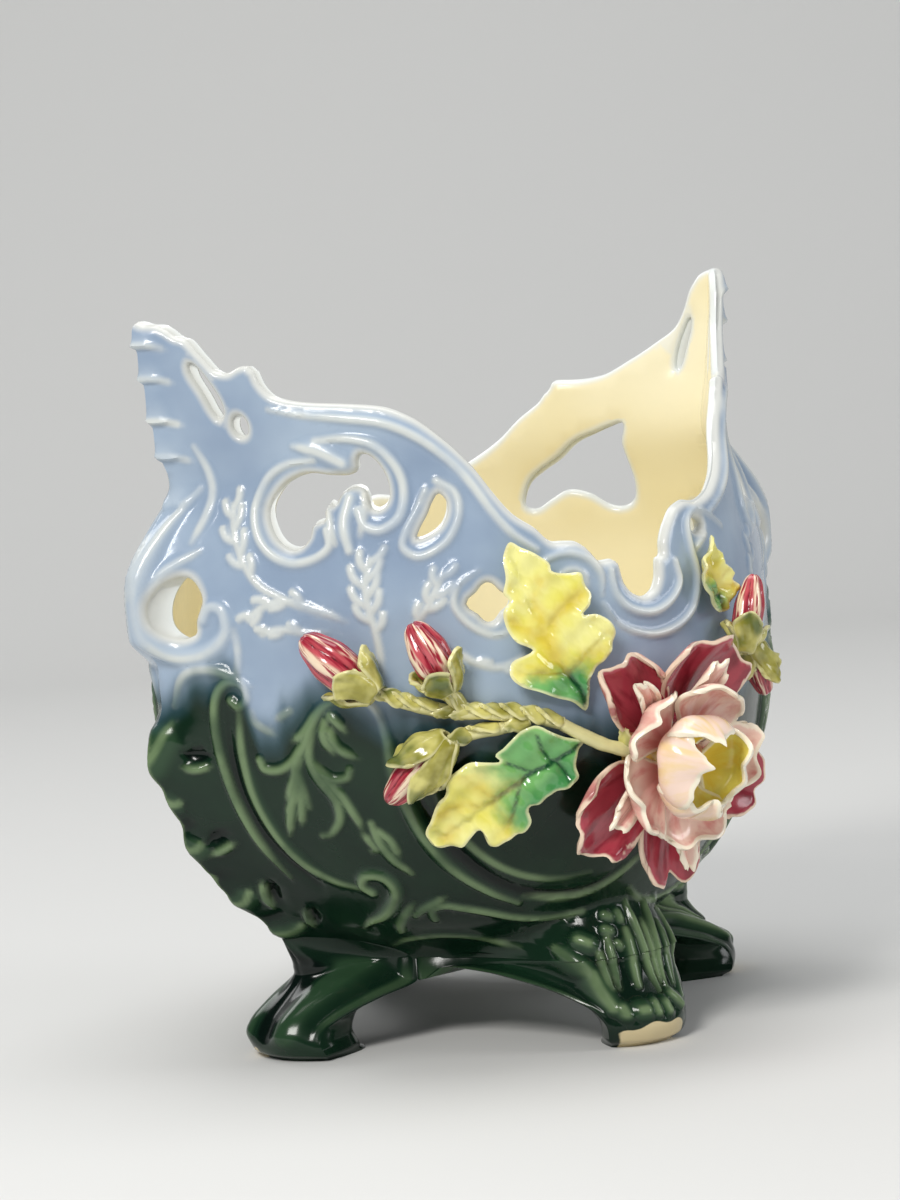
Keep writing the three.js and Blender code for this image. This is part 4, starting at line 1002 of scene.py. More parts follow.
def footSurface(turn, q, v, detailed):  # v is 0 at the floor and 1 at the wall's lower edge
    outwards, sideways = directions(turn)
    atProw = turn in prowTurns
    low, off = np.minimum(v, 1), np.abs(q)
    h = foot["height"] + np.maximum(v - 1, 0) * foot["climb"]
    edge, normal = footEdge(turn, q, np.maximum(h, foot["height"]))
    proud = -foot["behindWall"] * smoothStep(1.3, 2, v)
    if atProw:
        proud = proud + (1 - off ** 1.6) * foot["prowSwell"] * (1 - smoothStep(1, 1.9, v))
        proud = np.where(off > .97, proud - .4, proud)
        half, reach = prowHalfAt(low), prowReachAt(low)
    else:
        proud = proud - 2 * smoothStep(1, 1.1, v)
        half, reach = legHalfAt(foot["height"] * low), legReachAt(foot["height"] * low)
    toe = outwards * (reach - half * .5 * off ** 2.4)[:, None] + sideways * (q * half)[:, None]
    spread = footSpreadAt(low)[:, None]
    place = toe * (1 - spread) + (edge + normal * proud[:, None]) * spread
    rim = smoothStep(.7, 1, off) * (1 if atProw else smoothStep(.8, 1, spread[:, 0]))
    place[:, 2] = np.where(v <= 1, v * (foot["height"] - rim * foot["archDrop"]), place[:, 2])
    border = smoothStep(.86, .92, off) * (1 - smoothStep(.96, 1, off))
    border = border * smoothStep(.25, .6, v) * (1 - smoothStep(1, 1.05, v))
    if detailed:
        flat = np.column_stack([place[:, 1] if atProw else place[:, 0], place[:, 2]])
        rise, _, crest = raisedBy(flat, flatLegLines)
        between = .6 * smoothStep(1, .4, off) * smoothStep(.3, .5, v)
        rise = rise - between * (1 - smoothStep(1.2, 1.7, v)) * (rise < .1)
    else:
        rise, crest = plainFootRise(q, v), 0 * q
    rise = rise + foot["borderRise"] * border
    push = outwards * .8 + sideways * (np.sign(q) * smoothStep(.3, 1, off) * .6)[:, None]
    push = push + np.array([0, 0, .15])
    moved = place + push * (rise * smoothStep(0, .1, v))[:, None]
    moved[:, 2] = np.maximum(moved[:, 2], 0)
    return moved, rise, np.maximum(crest, .3 * border)


def bareClay(turn, q, share):  # where a toe shows the clay
    if turn == 180:
        front, top = 1 - smoothStep(.25, .5, np.abs(q + .55)), .16
    else:
        front, top = 1 - smoothStep(.55, .95, np.abs(q + .1)), .3
    return front * (1 - smoothStep(top - .07, top, share + .02 * np.sin(q * 9) + .1 * q * q))


def footMesh(turn, detailed):
    atProw = turn in prowTurns
    climb = np.linspace(1.03, 2, foot["rows"] // 3) if atProw else np.array([1.02, 1.08])
    v = np.concatenate([np.linspace(0, 1, foot["rows"] * 2 // 3), climb])
    q = np.linspace(-1, 1, foot["columns"])
    qInner = np.linspace(1, -1, foot["innerColumns"])
    outwards, _ = directions(turn)
    hollow = (foot["prowDepth"] if atProw else foot["sideDepth"]) * (1 - np.abs(qInner) ** 4)
    verts, relief, crests, bare = [], [], [], []
    for share in v:
        place, rise, crest = footSurface(turn, q, np.full(len(q), share), detailed)
        if share > 1:
            h = foot["height"] + (share - 1) * foot["climb"]
            edge, normal = footEdge(turn, qInner, np.full(len(qInner), h))
            back = edge - normal * foot["climbDepth"]
        else:
            high = smoothStep(.8, 1, share)
            back, _, _ = footSurface(turn, qInner, np.full(len(qInner), share), False)
            depth = hollow * (1 - high) + foot["topDepth"] * high
            back = back - outwards * depth[:, None]
        blank = 0 * qInner[1:-1]
        verts += [place, back[1:-1]]
        relief += [rise, blank]
        crests += [crest, blank]
        bare += [bareClay(turn, q, share), blank]
    ring = foot["columns"] + foot["innerColumns"] - 2
    faces = ringFaces(len(v), ring)
    faces.append(tuple(range(ring - 1, -1, -1)))
    faces.append(tuple((len(v) - 1) * ring + np.arange(ring)))
    looks = {"relief": relief, "crest": crests, "bare": bare}
    return np.vstack(verts), faces, {key: np.concatenate(values) for key, values in looks.items()}


def footPaint(tree):
    worn = ramp(tree, uneven(tree, attribute(tree, "bare"), .9, 120, 3), .35, .6)
    return mixed(tree, worn, greenGlaze(tree, attribute(tree, "relief")), potGlazes["clay"])


footGlaze = glazeMaterial("foot glaze", footPaint, coat=.08, shine=.3)
for name, turn in (("foot_right", 0), ("foot_back", 90), ("foot_left", 180), ("foot_front", -90)):
    verts, faces, looks = footMesh(turn, detailed=turn != 180)
    finished(newPiece(name + "_glazed", verts, faces, footGlaze, looks), [name], "foot_glaze")
print("feet built")


# sheets with rounded edges, such as petals

def surfaceNormals(grid):
    normal = np.cross(np.gradient(grid, axis=0), np.gradient(grid, axis=1))
    return normal / (np.linalg.norm(normal, axis=2)[..., None] + 1e-12)


def sheetMesh(grid, thickness, faceTo):
    rows, columns = grid.shape[:2]
    normal = surfaceNormals(grid)
    middle = rows // 2, columns // 2
    if np.dot(normal[middle], faceTo - grid[middle]) < 0:
        normal = -normal
    edge = np.vstack([grid[0], grid[-1], grid[:, 0], grid[:, -1]])
    d = np.linalg.norm(grid[:, :, None] - edge[None, None], axis=3).min(2)
    half = thickness / 2 * np.sqrt(1 - np.clip(1 - d / (thickness * .6), 0, 1) ** 2)
    upper, lower = grid + normal * half[..., None], grid - normal * half[..., None]
    count = rows * columns
    faces = []
    for i in range(rows - 1):
        for j in range(columns - 1):
            a, b, c, e = (i * columns + j, i * columns + j + 1, (i + 1) * columns + j + 1,
                          (i + 1) * columns + j)
            faces += [(a, b, c, e), (a + count, e + count, c + count, b + count)]
    looks = dict(zip(("along", "across"), patch(rows, columns)), rim=d)
    looks = {key: np.tile(values.ravel(), 2) for key, values in looks.items()}
    looks["under"] = np.repeat([0., 1.], count)
    return np.vstack([upper.reshape(-1, 3), lower.reshape(-1, 3)]), faces, looks


def sheetPiece(name, sheets, material, replaces, slot):  # one piece from several sheets
    verts, faces, looks, start = [], [], {}, 0
    for v, f, look in sheets:
        verts.append(v)
        faces += [tuple(np.array(one) + start) for one in f]
        for key, values in look.items():
            looks.setdefault(key, []).append(values)
        start += len(v)
    looks = {key: np.concatenate(values) for key, values in looks.items()}
    finished(newPiece(name, np.vstack(verts), faces, material, looks), replaces, slot)


# peony

peony = {"s": 2, "h": 98, "rows": 30, "columns": 33, "waves": 2.5}
# its middle and a step each way, for the wall's stretch there
beside = wallFace(peony["s"] + np.array([0., 1, 0]), peony["h"] + np.array([0., 0, 1]), -1)
stretchS, stretchH = np.linalg.norm(beside[1:] - beside[0], axis=1)


def onPeony(radius, degrees, lift):
    turn = np.radians(degrees)
    s = peony["s"] + radius * np.cos(turn) / stretchS
    h = peony["h"] + radius * np.sin(turn) / stretchH
    shape = np.shape(s)
    return onWall(np.ravel(s), np.ravel(h), np.ravel(lift + 0 * s)).reshape(shape + (3,))


above = onPeony(np.array([0.]), np.array([0.]), np.array([90.]))[0]


def alongCurve(share, *points):  # a curve from root to tip, drawn towards its bend
    root, bend, tip = points
    return (1 - share) ** 2 * root + 2 * share * (1 - share) * bend + share ** 2 * tip


def petal(degrees, halfWidth, root, bend, tip, curl, phase, point=.25, ruffle=.6, notch=0.0,
          lean=0.0, thickness=2.0, full=.83):
    t, a = patch(peony["rows"], peony["columns"])
    wave = peony["waves"] * math.pi * a
    along = t * (1 - point * np.abs(a) ** 2.2 - notch * bump(a, 0, .16)
                 + .025 * np.sin(7 * a + phase * 3) + .015 * np.sin(15 * a + phase))
    spread = halfWidth * np.sin(math.pi * (.15 + (full - .15) * t)) ** .8
    radius, lift = (alongCurve(along, *values) for values in zip(root, bend, tip))
    lift = lift + curl * along * np.abs(a) ** 2 + ruffle * t ** 2 * np.sin(wave + phase)
    lift = lift + lean * a * t + .5 * np.cos(a * 6 + phase) * np.sin(t * 9) * t
    lift = lift - .8 * bump(a, 0, .12) * t * (1 - t) * 2
    radius = radius + .5 * ruffle * t ** 2 * np.cos(wave + phase * 2)
    return sheetMesh(onPeony(radius, degrees + spread * a, lift), thickness, above)


def petalMaterial(name, rimWidth, base, deep, rimColour, under):
    base, deep, rimColour, under = (linear(*colour) for colour in (base, deep, rimColour, under))

    def paint(tree):
        along, across = attribute(tree, "along"), times(tree, attribute(tree, "across"), 3.2)
        up = times(tree, objectZ(tree), 60)
        streak = streaks(tree, across, times(tree, along, 1.8), up, 1.4, 3)
        patches = uneven(tree, attribute(tree, "rim"), 1.6, 160)

        def edged(face, reach):
            rim = ramp(tree, patches, rimWidth * .45, rimWidth * reach, 1, 0)
            return mixed(tree, rim, face, rimColour)
        face = mixed(tree, ramp(tree, streak, .4, .75, 0, .8), base, deep)
        face = edged(mixed(tree, ramp(tree, along, .5, .05), face, deep), 1)
        flushed = edged(mixed(tree, ramp(tree, streak, .4, .68, 0, .45), under, deep), 1.3)
        return mixed(tree, attribute(tree, "under"), face, flushed)
    return glazeMaterial(name, paint, .2, .4)


crimson = petalMaterial(
    "crimson petal", 1.2, (172, 62, 76), (116, 20, 36), (236, 210, 186), (206, 138, 132))
blush = petalMaterial(
    "pink petal", 1.5, (240, 206, 190), (214, 128, 124), (248, 236, 214), (236, 194, 178))
cupPink = petalMaterial(
    "cup petal", 1.6, (240, 230, 120), (232, 200, 74), (248, 240, 218), (243, 216, 200))

# petals, ring by ring: turn and half width in degrees, tip as (reach, lift)
outerPetals = [
    dict(degrees=65, halfWidth=36, tip=(38, 17), curl=5, phase=.4, lean=1, point=.26, full=.76),
    dict(degrees=122, halfWidth=31, tip=(38.5, 16), curl=6, phase=1.7, point=.38),
    dict(degrees=213, halfWidth=35, tip=(38.5, 15), curl=6, phase=2.6, point=.34),
    dict(degrees=275, halfWidth=34, tip=(38.5, 15), curl=5, phase=3.9, notch=.07, point=.3,
         full=.78),
    dict(degrees=338, halfWidth=34, tip=(38, 16), curl=5, phase=5.1, point=.3, full=.78),
]
tonguePetals = [
    dict(degrees=68, halfWidth=14, tip=(31, 20), curl=2.5, phase=.9),
    dict(degrees=122, halfWidth=12, tip=(30, 20), curl=3, phase=2),
    dict(degrees=209, halfWidth=14, tip=(29, 19), curl=3, phase=3),
    dict(degrees=279, halfWidth=13, tip=(32, 19), curl=2.5, phase=4),
]
middlePetals = [
    dict(degrees=135, halfWidth=41, tip=(20.5, 25.5), phase=.5, lean=2.2),
    dict(degrees=62, halfWidth=40, tip=(22, 24.5), phase=1.9, lean=2.4),
    dict(degrees=350, halfWidth=38, tip=(23.5, 22), phase=3.1, lean=2.2),
    dict(degrees=282, halfWidth=42, tip=(23, 21.5), phase=4.4, lean=2.6),
    dict(degrees=208, halfWidth=39, tip=(21, 24.5), phase=5.2, lean=2.2),
]
cupPetals = [
    dict(degrees=170, halfWidth=60, tip=(6, 33.4), phase=1, lean=1.2),
    dict(degrees=88, halfWidth=56, tip=(7, 32.5), phase=2.1, lean=1.4),
    dict(degrees=345, halfWidth=54, tip=(8.5, 31.5), phase=3.3, lean=1.2),
    dict(degrees=255, halfWidth=58, tip=(8, 31), phase=4.6, lean=1.4),
]
inner = dict(point=.34, thickness=1.8)
rings = {
    "outer": (outerPetals, dict(root=(9, 4), bend=(25, 4), ruffle=1.3), crimson, "crimson_glaze"),
    "tongues": (tonguePetals, dict(root=(9, 7), bend=(18, 9.5), ruffle=.7, thickness=1.7),
                blush, "pink_glaze"),
    "middle": (middlePetals,
               dict(inner, root=(6, 10.5), bend=(25, 12), curl=1.5, ruffle=1.3, full=.7),
               blush, "pink_glaze"),
    "cup": (cupPetals, dict(inner, root=(3, 15.5), bend=(22.5, 17), curl=.8, ruffle=1.2, full=.66),
            cupPink, "pink_glaze"),
}
for name, (items, shared, material, slot) in rings.items():
    sheets = [petal(**dict(shared, **item)) for item in items]
    nodes = [f"{name.removesuffix('s')}_petal_{i + 1}" for i in range(len(items))]
    sheetPiece("peony_" + name, sheets, material, nodes, slot)


def heartMesh(columns=48):  # the flower's solid middle
    lifts = 0.7, 4, 8, 12, 15, 17, 18, 18.4
    radii = 15, 14.5, 12, 9, 6.5, 4.5, 2.5, .01
    turn = np.linspace(0, 360, columns + 1)[:-1]
    verts = [onPeony(np.full(columns, r), turn, np.full(columns, l)) for l, r in zip(lifts, radii)]
    last = (len(lifts) - 1) * columns + np.arange(columns)
    faces = ringFaces(len(lifts), columns) + [tuple(range(columns - 1, -1, -1)), tuple(last)]
    return np.vstack(verts), faces


def heartPaint(tree):
    return mottled(tree, 40, 3, .35, .65, linear(150, 34, 56), linear(206, 170, 80))


verts, faces = heartMesh()
heart = newPiece("peony_heart", verts, faces, glazeMaterial("heart glaze", heartPaint, .2, .6))
finished(heart, ["flower_base"], "crimson_glaze", mergeWithin)
print("peony built")


# leaves: outline, midrib and side veins on the wall, with the stalk end turning green

leaves = {
    "upper": dict(
        outline=[(-22, 115), (-25, 118), (-29, 119.8), (-33, 122.3), (-37.2, 124.6), (-39.8, 128.5),
                 (-39, 132.8), (-35.8, 134.4), (-33.6, 135.8), (-35.2, 137.3), (-37.8, 139.3),
                 (-39.7, 144), (-40, 149), (-38.2, 152), (-39.6, 154.5), (-38.8, 159), (-39.2, 165),
                 (-37.5, 170), (-34.5, 168), (-31, 165.5), (-28, 162.6), (-27.4, 159.8),
                 (-23.5, 158.8), (-20, 158.6), (-19.2, 155), (-17.8, 152), (-18.4, 149),
                 (-20.3, 145.6), (-17, 145.4), (-14, 143.2), (-12.1, 139.5), (-13, 135.5),
                 (-15, 131.2), (-18.3, 128), (-19.8, 124), (-20.2, 119), (-21, 115)],
        midrib=[(-21.5, 115), (-22.3, 121), (-25, 127), (-28, 133), (-30, 140), (-32.3, 148),
                (-35, 158), (-37, 167)],
        veins=[[(-25, 127), (-31, 128), (-37, 129)], [(-25, 127), (-20, 133), (-15, 138)],
               [(-29, 137), (-34, 142), (-38, 146)], [(-30, 140), (-26, 147), (-21, 152)],
               [(-33.5, 152), (-37, 157)], [(-33.5, 152), (-30, 158)]],
        lift=3.2, cup=2.2, green=((-24, 113), 23)),
    "lower": dict(
        outline=[(-23, 105), (-28, 107.2), (-31.5, 109.7), (-34.5, 112), (-37.5, 111.6),
                 (-40, 109.6), (-43, 106.3), (-45.2, 104), (-44.2, 101.8), (-47.5, 102.2),
                 (-51, 102.6), (-55, 99.8), (-57.8, 97), (-58, 93.6), (-60.6, 90.6), (-62.6, 86),
                 (-64.8, 81), (-63.5, 77), (-59.5, 76.1), (-55.5, 76.1), (-53, 78.6), (-50.2, 80.4),
                 (-48.6, 75.6), (-45.4, 76.4), (-42, 78.5), (-39, 80.5), (-37.7, 83), (-38.3, 86.6),
                 (-35.5, 88.2), (-32, 91), (-28, 92.6), (-25.7, 95), (-26, 98), (-25, 102)],
        midrib=[(-23.2, 104.8), (-28, 102), (-32, 99.5), (-37, 97), (-42, 93), (-47, 89), (-54, 83),
                (-60, 79)],
        veins=[[(-32, 99.5), (-34, 104), (-35, 109)], [(-31, 100), (-29, 97), (-28, 94)],
               [(-37, 97), (-43, 101)], [(-40, 95), (-41.5, 88), (-44, 80)],
               [(-46, 90), (-51, 95), (-53, 98)], [(-49, 87), (-56, 88), (-60, 87)]],
        lift=3.4, cup=2.4, green=((-26, 98), 29)),
    "side": dict(
        outline=[(28, 139), (24, 140), (21.8, 143), (20.3, 145.5), (18.6, 148), (17.6, 151.5),
                 (19.2, 154.5), (19.3, 157.5), (21.8, 160), (24.8, 164.5), (26.5, 160.5),
                 (29.3, 158), (28.8, 155), (32.5, 152), (31.5, 149.3), (34.6, 146), (32.4, 142.5),
                 (31, 139.8)],
        midrib=[(28.5, 139), (26.8, 143), (26, 148), (25, 153), (24.8, 162)],
        veins=[[(26.5, 144), (22, 147)], [(26, 147), (32, 147)], [(25.3, 151), (20, 153)],
               [(25.3, 151), (29, 155)]],
        lift=4.2, cup=2.2, green=((18, 142), 13)),
}


leafShape = {
    "edgeStep": .8, "column": 1.0, "row": .87, "groove": .9, "veinGroove": .65, "rimRise": 1.1,
    "tipRise": 1.3, "stalkFall": 1.2, "halfThickness": 1.05, "rounding": 1.3,
}


def leafMesh(outline, midrib, veins, lift, cup, green):
    size = leafShape
    outline = evenly(smoothLine(outline, closed=True, per=6), size["edgeStep"], closed=True)
    low, high = outline.min(0), outline.max(0)
    columns, rows = (np.arange(low[k], high[k], size[key])
                     for k, key in enumerate(("column", "row")))
    grid = staggered(columns, rows, .5)
    closed = np.vstack([outline, outline[0]])
    grid = grid[insideOutline(grid, outline)]
    grid = grid[toLine(grid, closed)[0] > .4]
    pairs = [(i, (i + 1) % len(outline)) for i in range(len(outline))]
    found = delaunay_2d_cdt([Vector(p) for p in np.vstack([outline, grid])], pairs, [], 0, 1e-4)
    flat, faces = np.array([tuple(v) for v in found[0]]), np.array(found[2])
    faces = faces[insideOutline(flat[faces].mean(1), outline)]
    rim = toLine(flat, closed)[0]
    rim[rim < 1e-3] = 0
    rib, share = toLine(flat, smoothLine(midrib))
    groove = size["groove"] * np.exp(-(rib / .9) ** 2)
    nearVein = rib.copy()
    for vein in veins:
        d = toLine(flat, smoothLine(vein))[0]
        nearVein = np.minimum(nearVein, d + .25)
        groove = np.maximum(groove, size["veinGroove"] * np.exp(-(d / .8) ** 2))
    s, h = flat.T
    raised = lift + cup * smoothStep(0, 12, rib)
    raised = raised + size["rimRise"] * (1 - smoothStep(0, 3.5, rim)) - groove
    raised = raised + .8 * np.sin(s * .62) * np.cos(h * .55) + .35 * np.sin(s * 1.3 + h * .9)
    raised = raised + size["tipRise"] * smoothStep(.75, 1, share)
    raised = raised - size["stalkFall"] * (1 - smoothStep(0, .18, share))
    half = size["halfThickness"] * np.sqrt(1 - np.clip(1 - rim / size["rounding"], 0, 1) ** 2)
    upper, lower = (onWall(s, h, raised + sign * half) for sign in (1, -1))
    (fromS, fromH), reach = green
    share = 1 - smoothStep(.3, 1.15, np.hypot(s - fromS, h - fromH) / reach)
    looks = {"rim": np.tile(rim, 2), "vein": np.tile(nearVein, 2), "green": np.tile(share, 2)}
    both = [tuple(f) for f in faces] + [tuple(f[::-1]) for f in faces + len(flat)]
    return np.vstack([upper, lower]), both, looks


def leafPaint(tree):
    rim, vein = attribute(tree, "rim"), attribute(tree, "vein")
    yellow = mottled(tree, 45, 3, .35, .65, linear(226, 216, 62), linear(241, 237, 150))
    blots = ramp(tree, noise(tree, 70, 3, seed=5), .38, .6, 0, .7)
    ochre = times(tree, ramp(tree, vein, 4.5, .2), blots)
    yellow = mixed(tree, ochre, yellow, linear(220, 192, 52))
    green = mottled(tree, 45, 3, .35, .65, linear(66, 138, 76), linear(120, 182, 104))
    green = mixed(tree, ramp(tree, vein, 1.2, .2), green, linear(22, 74, 40))
    edge = uneven(tree, attribute(tree, "green"), 1.3, 80, 3)
    face = mixed(tree, ramp(tree, edge, .12, .85), yellow, green)
    return mixed(tree, times(tree, ramp(tree, rim, 1.2, .2), .7), face, linear(238, 234, 186))


leafGlaze = glazeMaterial("leaf glaze", leafPaint, .2, .7)
for key, item in leaves.items():
    sheetPiece(f"leaf_{key}_glazed", [leafMesh(**item)], leafGlaze, [f"leaf_{key}"], "leaf_glaze")
print("leaves built")


# buds: pleated petals twisted shut in a cup of sepals

budShape = {
    "radius": 6.5, "rows": 30, "columns": 72, "start": -.15, "sepals": 4, "sepalGrid": (22, 21),
    "sepalThickness": 1.7,
}
buds = [
    dict(seat=(-76, 130, 8), tip=(-89.5, 145.5, 7.5), size=1.2, sepals=.22),
    dict(seat=(-56, 130, 7.3), tip=(-62, 148, 7), size=1.12, sepals=.2),
    dict(seat=(-59.5, 107, 7.6), tip=(-73, 92, 7), size=1.05, sepals=.6),
    dict(seat=(32, 131, 9), tip=(37, 150, 11), size=.85, sepals=.25),
    dict(seat=(38, 124, 8), tip=(44, 110, 9), size=.75, sepals=.5),
]


def budFrame(seat, tip):
    start, end = onWall(*seat)[0], onWall(*tip)[0]
    ahead = end - start
    length = np.linalg.norm(ahead)
    ahead = ahead / length
    out = wallNormal(np.array([float(seat[0])]), np.array([float(seat[1])]), -1)[0]
    out = out - ahead * np.dot(out, ahead)
    out /= np.linalg.norm(out)
    return start, ahead, length, out, np.cross(ahead, out)


def roundBud(frame, t, turn, radius):
    start, ahead, length, out, sideways = frame
    return (start + ahead * (t * length)[..., None] + out * (radius * np.cos(turn))[..., None]
            + sideways * (radius * np.sin(turn))[..., None])


budProfile = throughKnots([(-.3, .4), (0, .62), (.2, .9), (.45, .92), (.75, .7), (.95, .46),
                           (1, .3)])
sepalProfile = throughKnots([(-.34, .3), (-.2, .62), (0, .98), (.3, 1.14), (.6, 1.12), (.9, 1.1)])


def budMesh(item, phase):
    frame = budFrame(item["seat"], item["tip"])
    rows, columns = budShape["rows"], budShape["columns"]
    t = np.linspace(budShape["start"], 1, rows)[:, None] + np.zeros((1, columns))
    turn = np.arange(columns)[None] / columns * 2 * math.pi + 0 * t
    pleat = np.abs(np.cos(2.5 * turn + 1.2 * t + phase)) ** .7
    radius = budShape["radius"] * item["size"] * budProfile(t) * (.84 + .2 * pleat)
    radius = radius * (1 - .5 * smoothStep(.93, 1, t) * (1 - pleat))
    grid = roundBud(frame, t - .03 * pleat * smoothStep(.8, 1, t), turn, radius)
    ends = roundBud(frame, np.array([budShape["start"], .93]), np.zeros(2), np.zeros(2))
    faces, count = ringFaces(rows, columns), rows * columns
    for j in range(columns):
        k = (j + 1) % columns
        faces += [(count, k, j), (count + 1, count - columns + j, count - columns + k)]
    looks = {"pleat": np.append(pleat.ravel(), [0, 0]), "along": np.append(t.ravel(), [0, 1]),
             "around": np.append(turn.ravel(), [0, 0])}
    return np.vstack([grid.reshape(-1, 3), ends]), faces, looks


def sepalSheets(item, phase):
    frame = budFrame(item["seat"], item["tip"])
    sheets = []
    for k in range(budShape["sepals"]):
        middle = k * math.pi / 2 + phase
        r, a = patch(*budShape["sepalGrid"])
        reach = item["sepals"] + .34 + .1 * math.sin(3 * k + phase)
        t = -.32 + reach * r * (1 - .32 * np.abs(a) ** 1.5)
        turn = middle + a * (.95 - .25 * r) + .15 * np.sin(4 * r + k)
        wave = .7 * r ** 2 * np.sin(5 * a + k * 2 + phase) + .45 * np.sin(9 * r + k)
        wave = wave + .3 * r * np.cos(11 * a + 5 * r)
        radius = budShape["radius"] * item["size"] * sepalProfile(t) + wave + .7 * (k % 2)
        grid = roundBud(frame, t, turn, radius + 1.2 * smoothStep(.8, 1, r))
        outside = roundBud(frame, np.array([.1]), np.array([middle]), np.array([60.]))[0]
        sheets.append(sheetMesh(grid, budShape["sepalThickness"], outside))
    return sheets


def budPaint(tree):
    pleat, around = attribute(tree, "pleat"), times(tree, attribute(tree, "around"), 2.2)
    streak = streaks(tree, around, attribute(tree, "along"), objectZ(tree), 2.2, 2)
    red = mixed(tree, ramp(tree, streak, .35, .65), linear(150, 32, 52), linear(196, 84, 92))
    pale = times(tree, ramp(tree, pleat, .72, .97), ramp(tree, streak, .4, .55))
    face = mixed(tree, pale, red, linear(238, 216, 188))
    return mixed(tree, ramp(tree, pleat, .3, .05), face, linear(92, 10, 26))


def olivePaint(tree):
    olive = mottled(tree, 90, 3, .34, .62, linear(146, 140, 52), linear(212, 205, 122))
    spots = ramp(tree, noise(tree, 60, 2, seed=3), .52, .66)
    olive = mixed(tree, spots, olive, linear(92, 104, 48))
    pale = times(tree, ramp(tree, attribute(tree, "rim"), 1.1, .2), .65)
    return mixed(tree, pale, olive, linear(232, 226, 172))


budGlaze = glazeMaterial("bud glaze", budPaint, .2, .6)
sepalGlaze = glazeMaterial("sepal glaze", olivePaint, .22, .6)
for i, item in enumerate(buds):
    phase, bud, sepals = 1.3 * i, f"bud_{i + 1}", f"sepals_{i + 1}"
    sheetPiece(bud + "_glazed", [budMesh(item, phase)], budGlaze, [bud], "crimson_glaze")
    sheetPiece(sepals + "_glazed", sepalSheets(item, phase), sepalGlaze, [sepals], "stem_glaze")
print("buds built")


# stems: Geometry Nodes sweep each line and set bracts along it

stems = {
    "flower": dict(line=[(-12, 101, 6), (-18, 103.5, 4.5), (-23, 107, 3), (-28, 111, 2)],
                   radius=2.3, bracts=0),
    "main": dict(line=[(-27.8, 111.3, 2), (-36, 115, 2.2), (-44, 116.5, 2.1), (-55, 118.5, 2.1),
                       (-65, 122, 3.2), (-73, 127.5, 6)],
                 radius=2.3, bracts=12),
    "branch_upper": dict(line=[(-51, 118.5, 2), (-54, 122, 3), (-55.3, 128, 6)], radius=2.2,
                         bracts=4),
    "branch_lower": dict(line=[(-36, 113.5, 2), (-44, 111.5, 2), (-52, 110.5, 3), (-57, 109, 6)],
                         radius=2.1, bracts=4),
    "right": dict(line=[(24, 120, 2), (28, 124, 3.5), (31, 128, 7)], radius=2.2, bracts=3),
}


def bractMesh(material):  # a small pointed scale, clasping along +X, in metres
    t, a = patch(12, 9)
    width = 3.3 * np.sin(math.pi * (.12 + .83 * t)) ** .7
    height = 1.1 + 1.7 * t ** 1.5 - .9 * a ** 2 + .4 * np.sin(3 * a + 7 * t)
    grid = np.stack([10.5 * t * (1 - .2 * a ** 2), width * a, height], axis=-1)
    verts, faces, looks = sheetMesh(grid, 1.5, np.array([4., 0, 40]))
    mesh = bpy.data.meshes.new("bract")
    mesh.from_pydata((verts * millimetre).tolist(), [], faces)
    addLook(mesh, "rim", looks["rim"])
    mesh.materials.append(material)
    bract = bpy.data.objects.new("bract", mesh)
    closeSeams(bract, samePlace)
    return bract


stemShape = {
    "step": .0008, "sides": 18, "knotScale": 160.0, "knotDepth": .5, "thinnest": .75,
    "roll": 1.3, "lean": -.12, "facing": (-.35, -1, .1), "smallest": .75, "largest": 1.1,
}


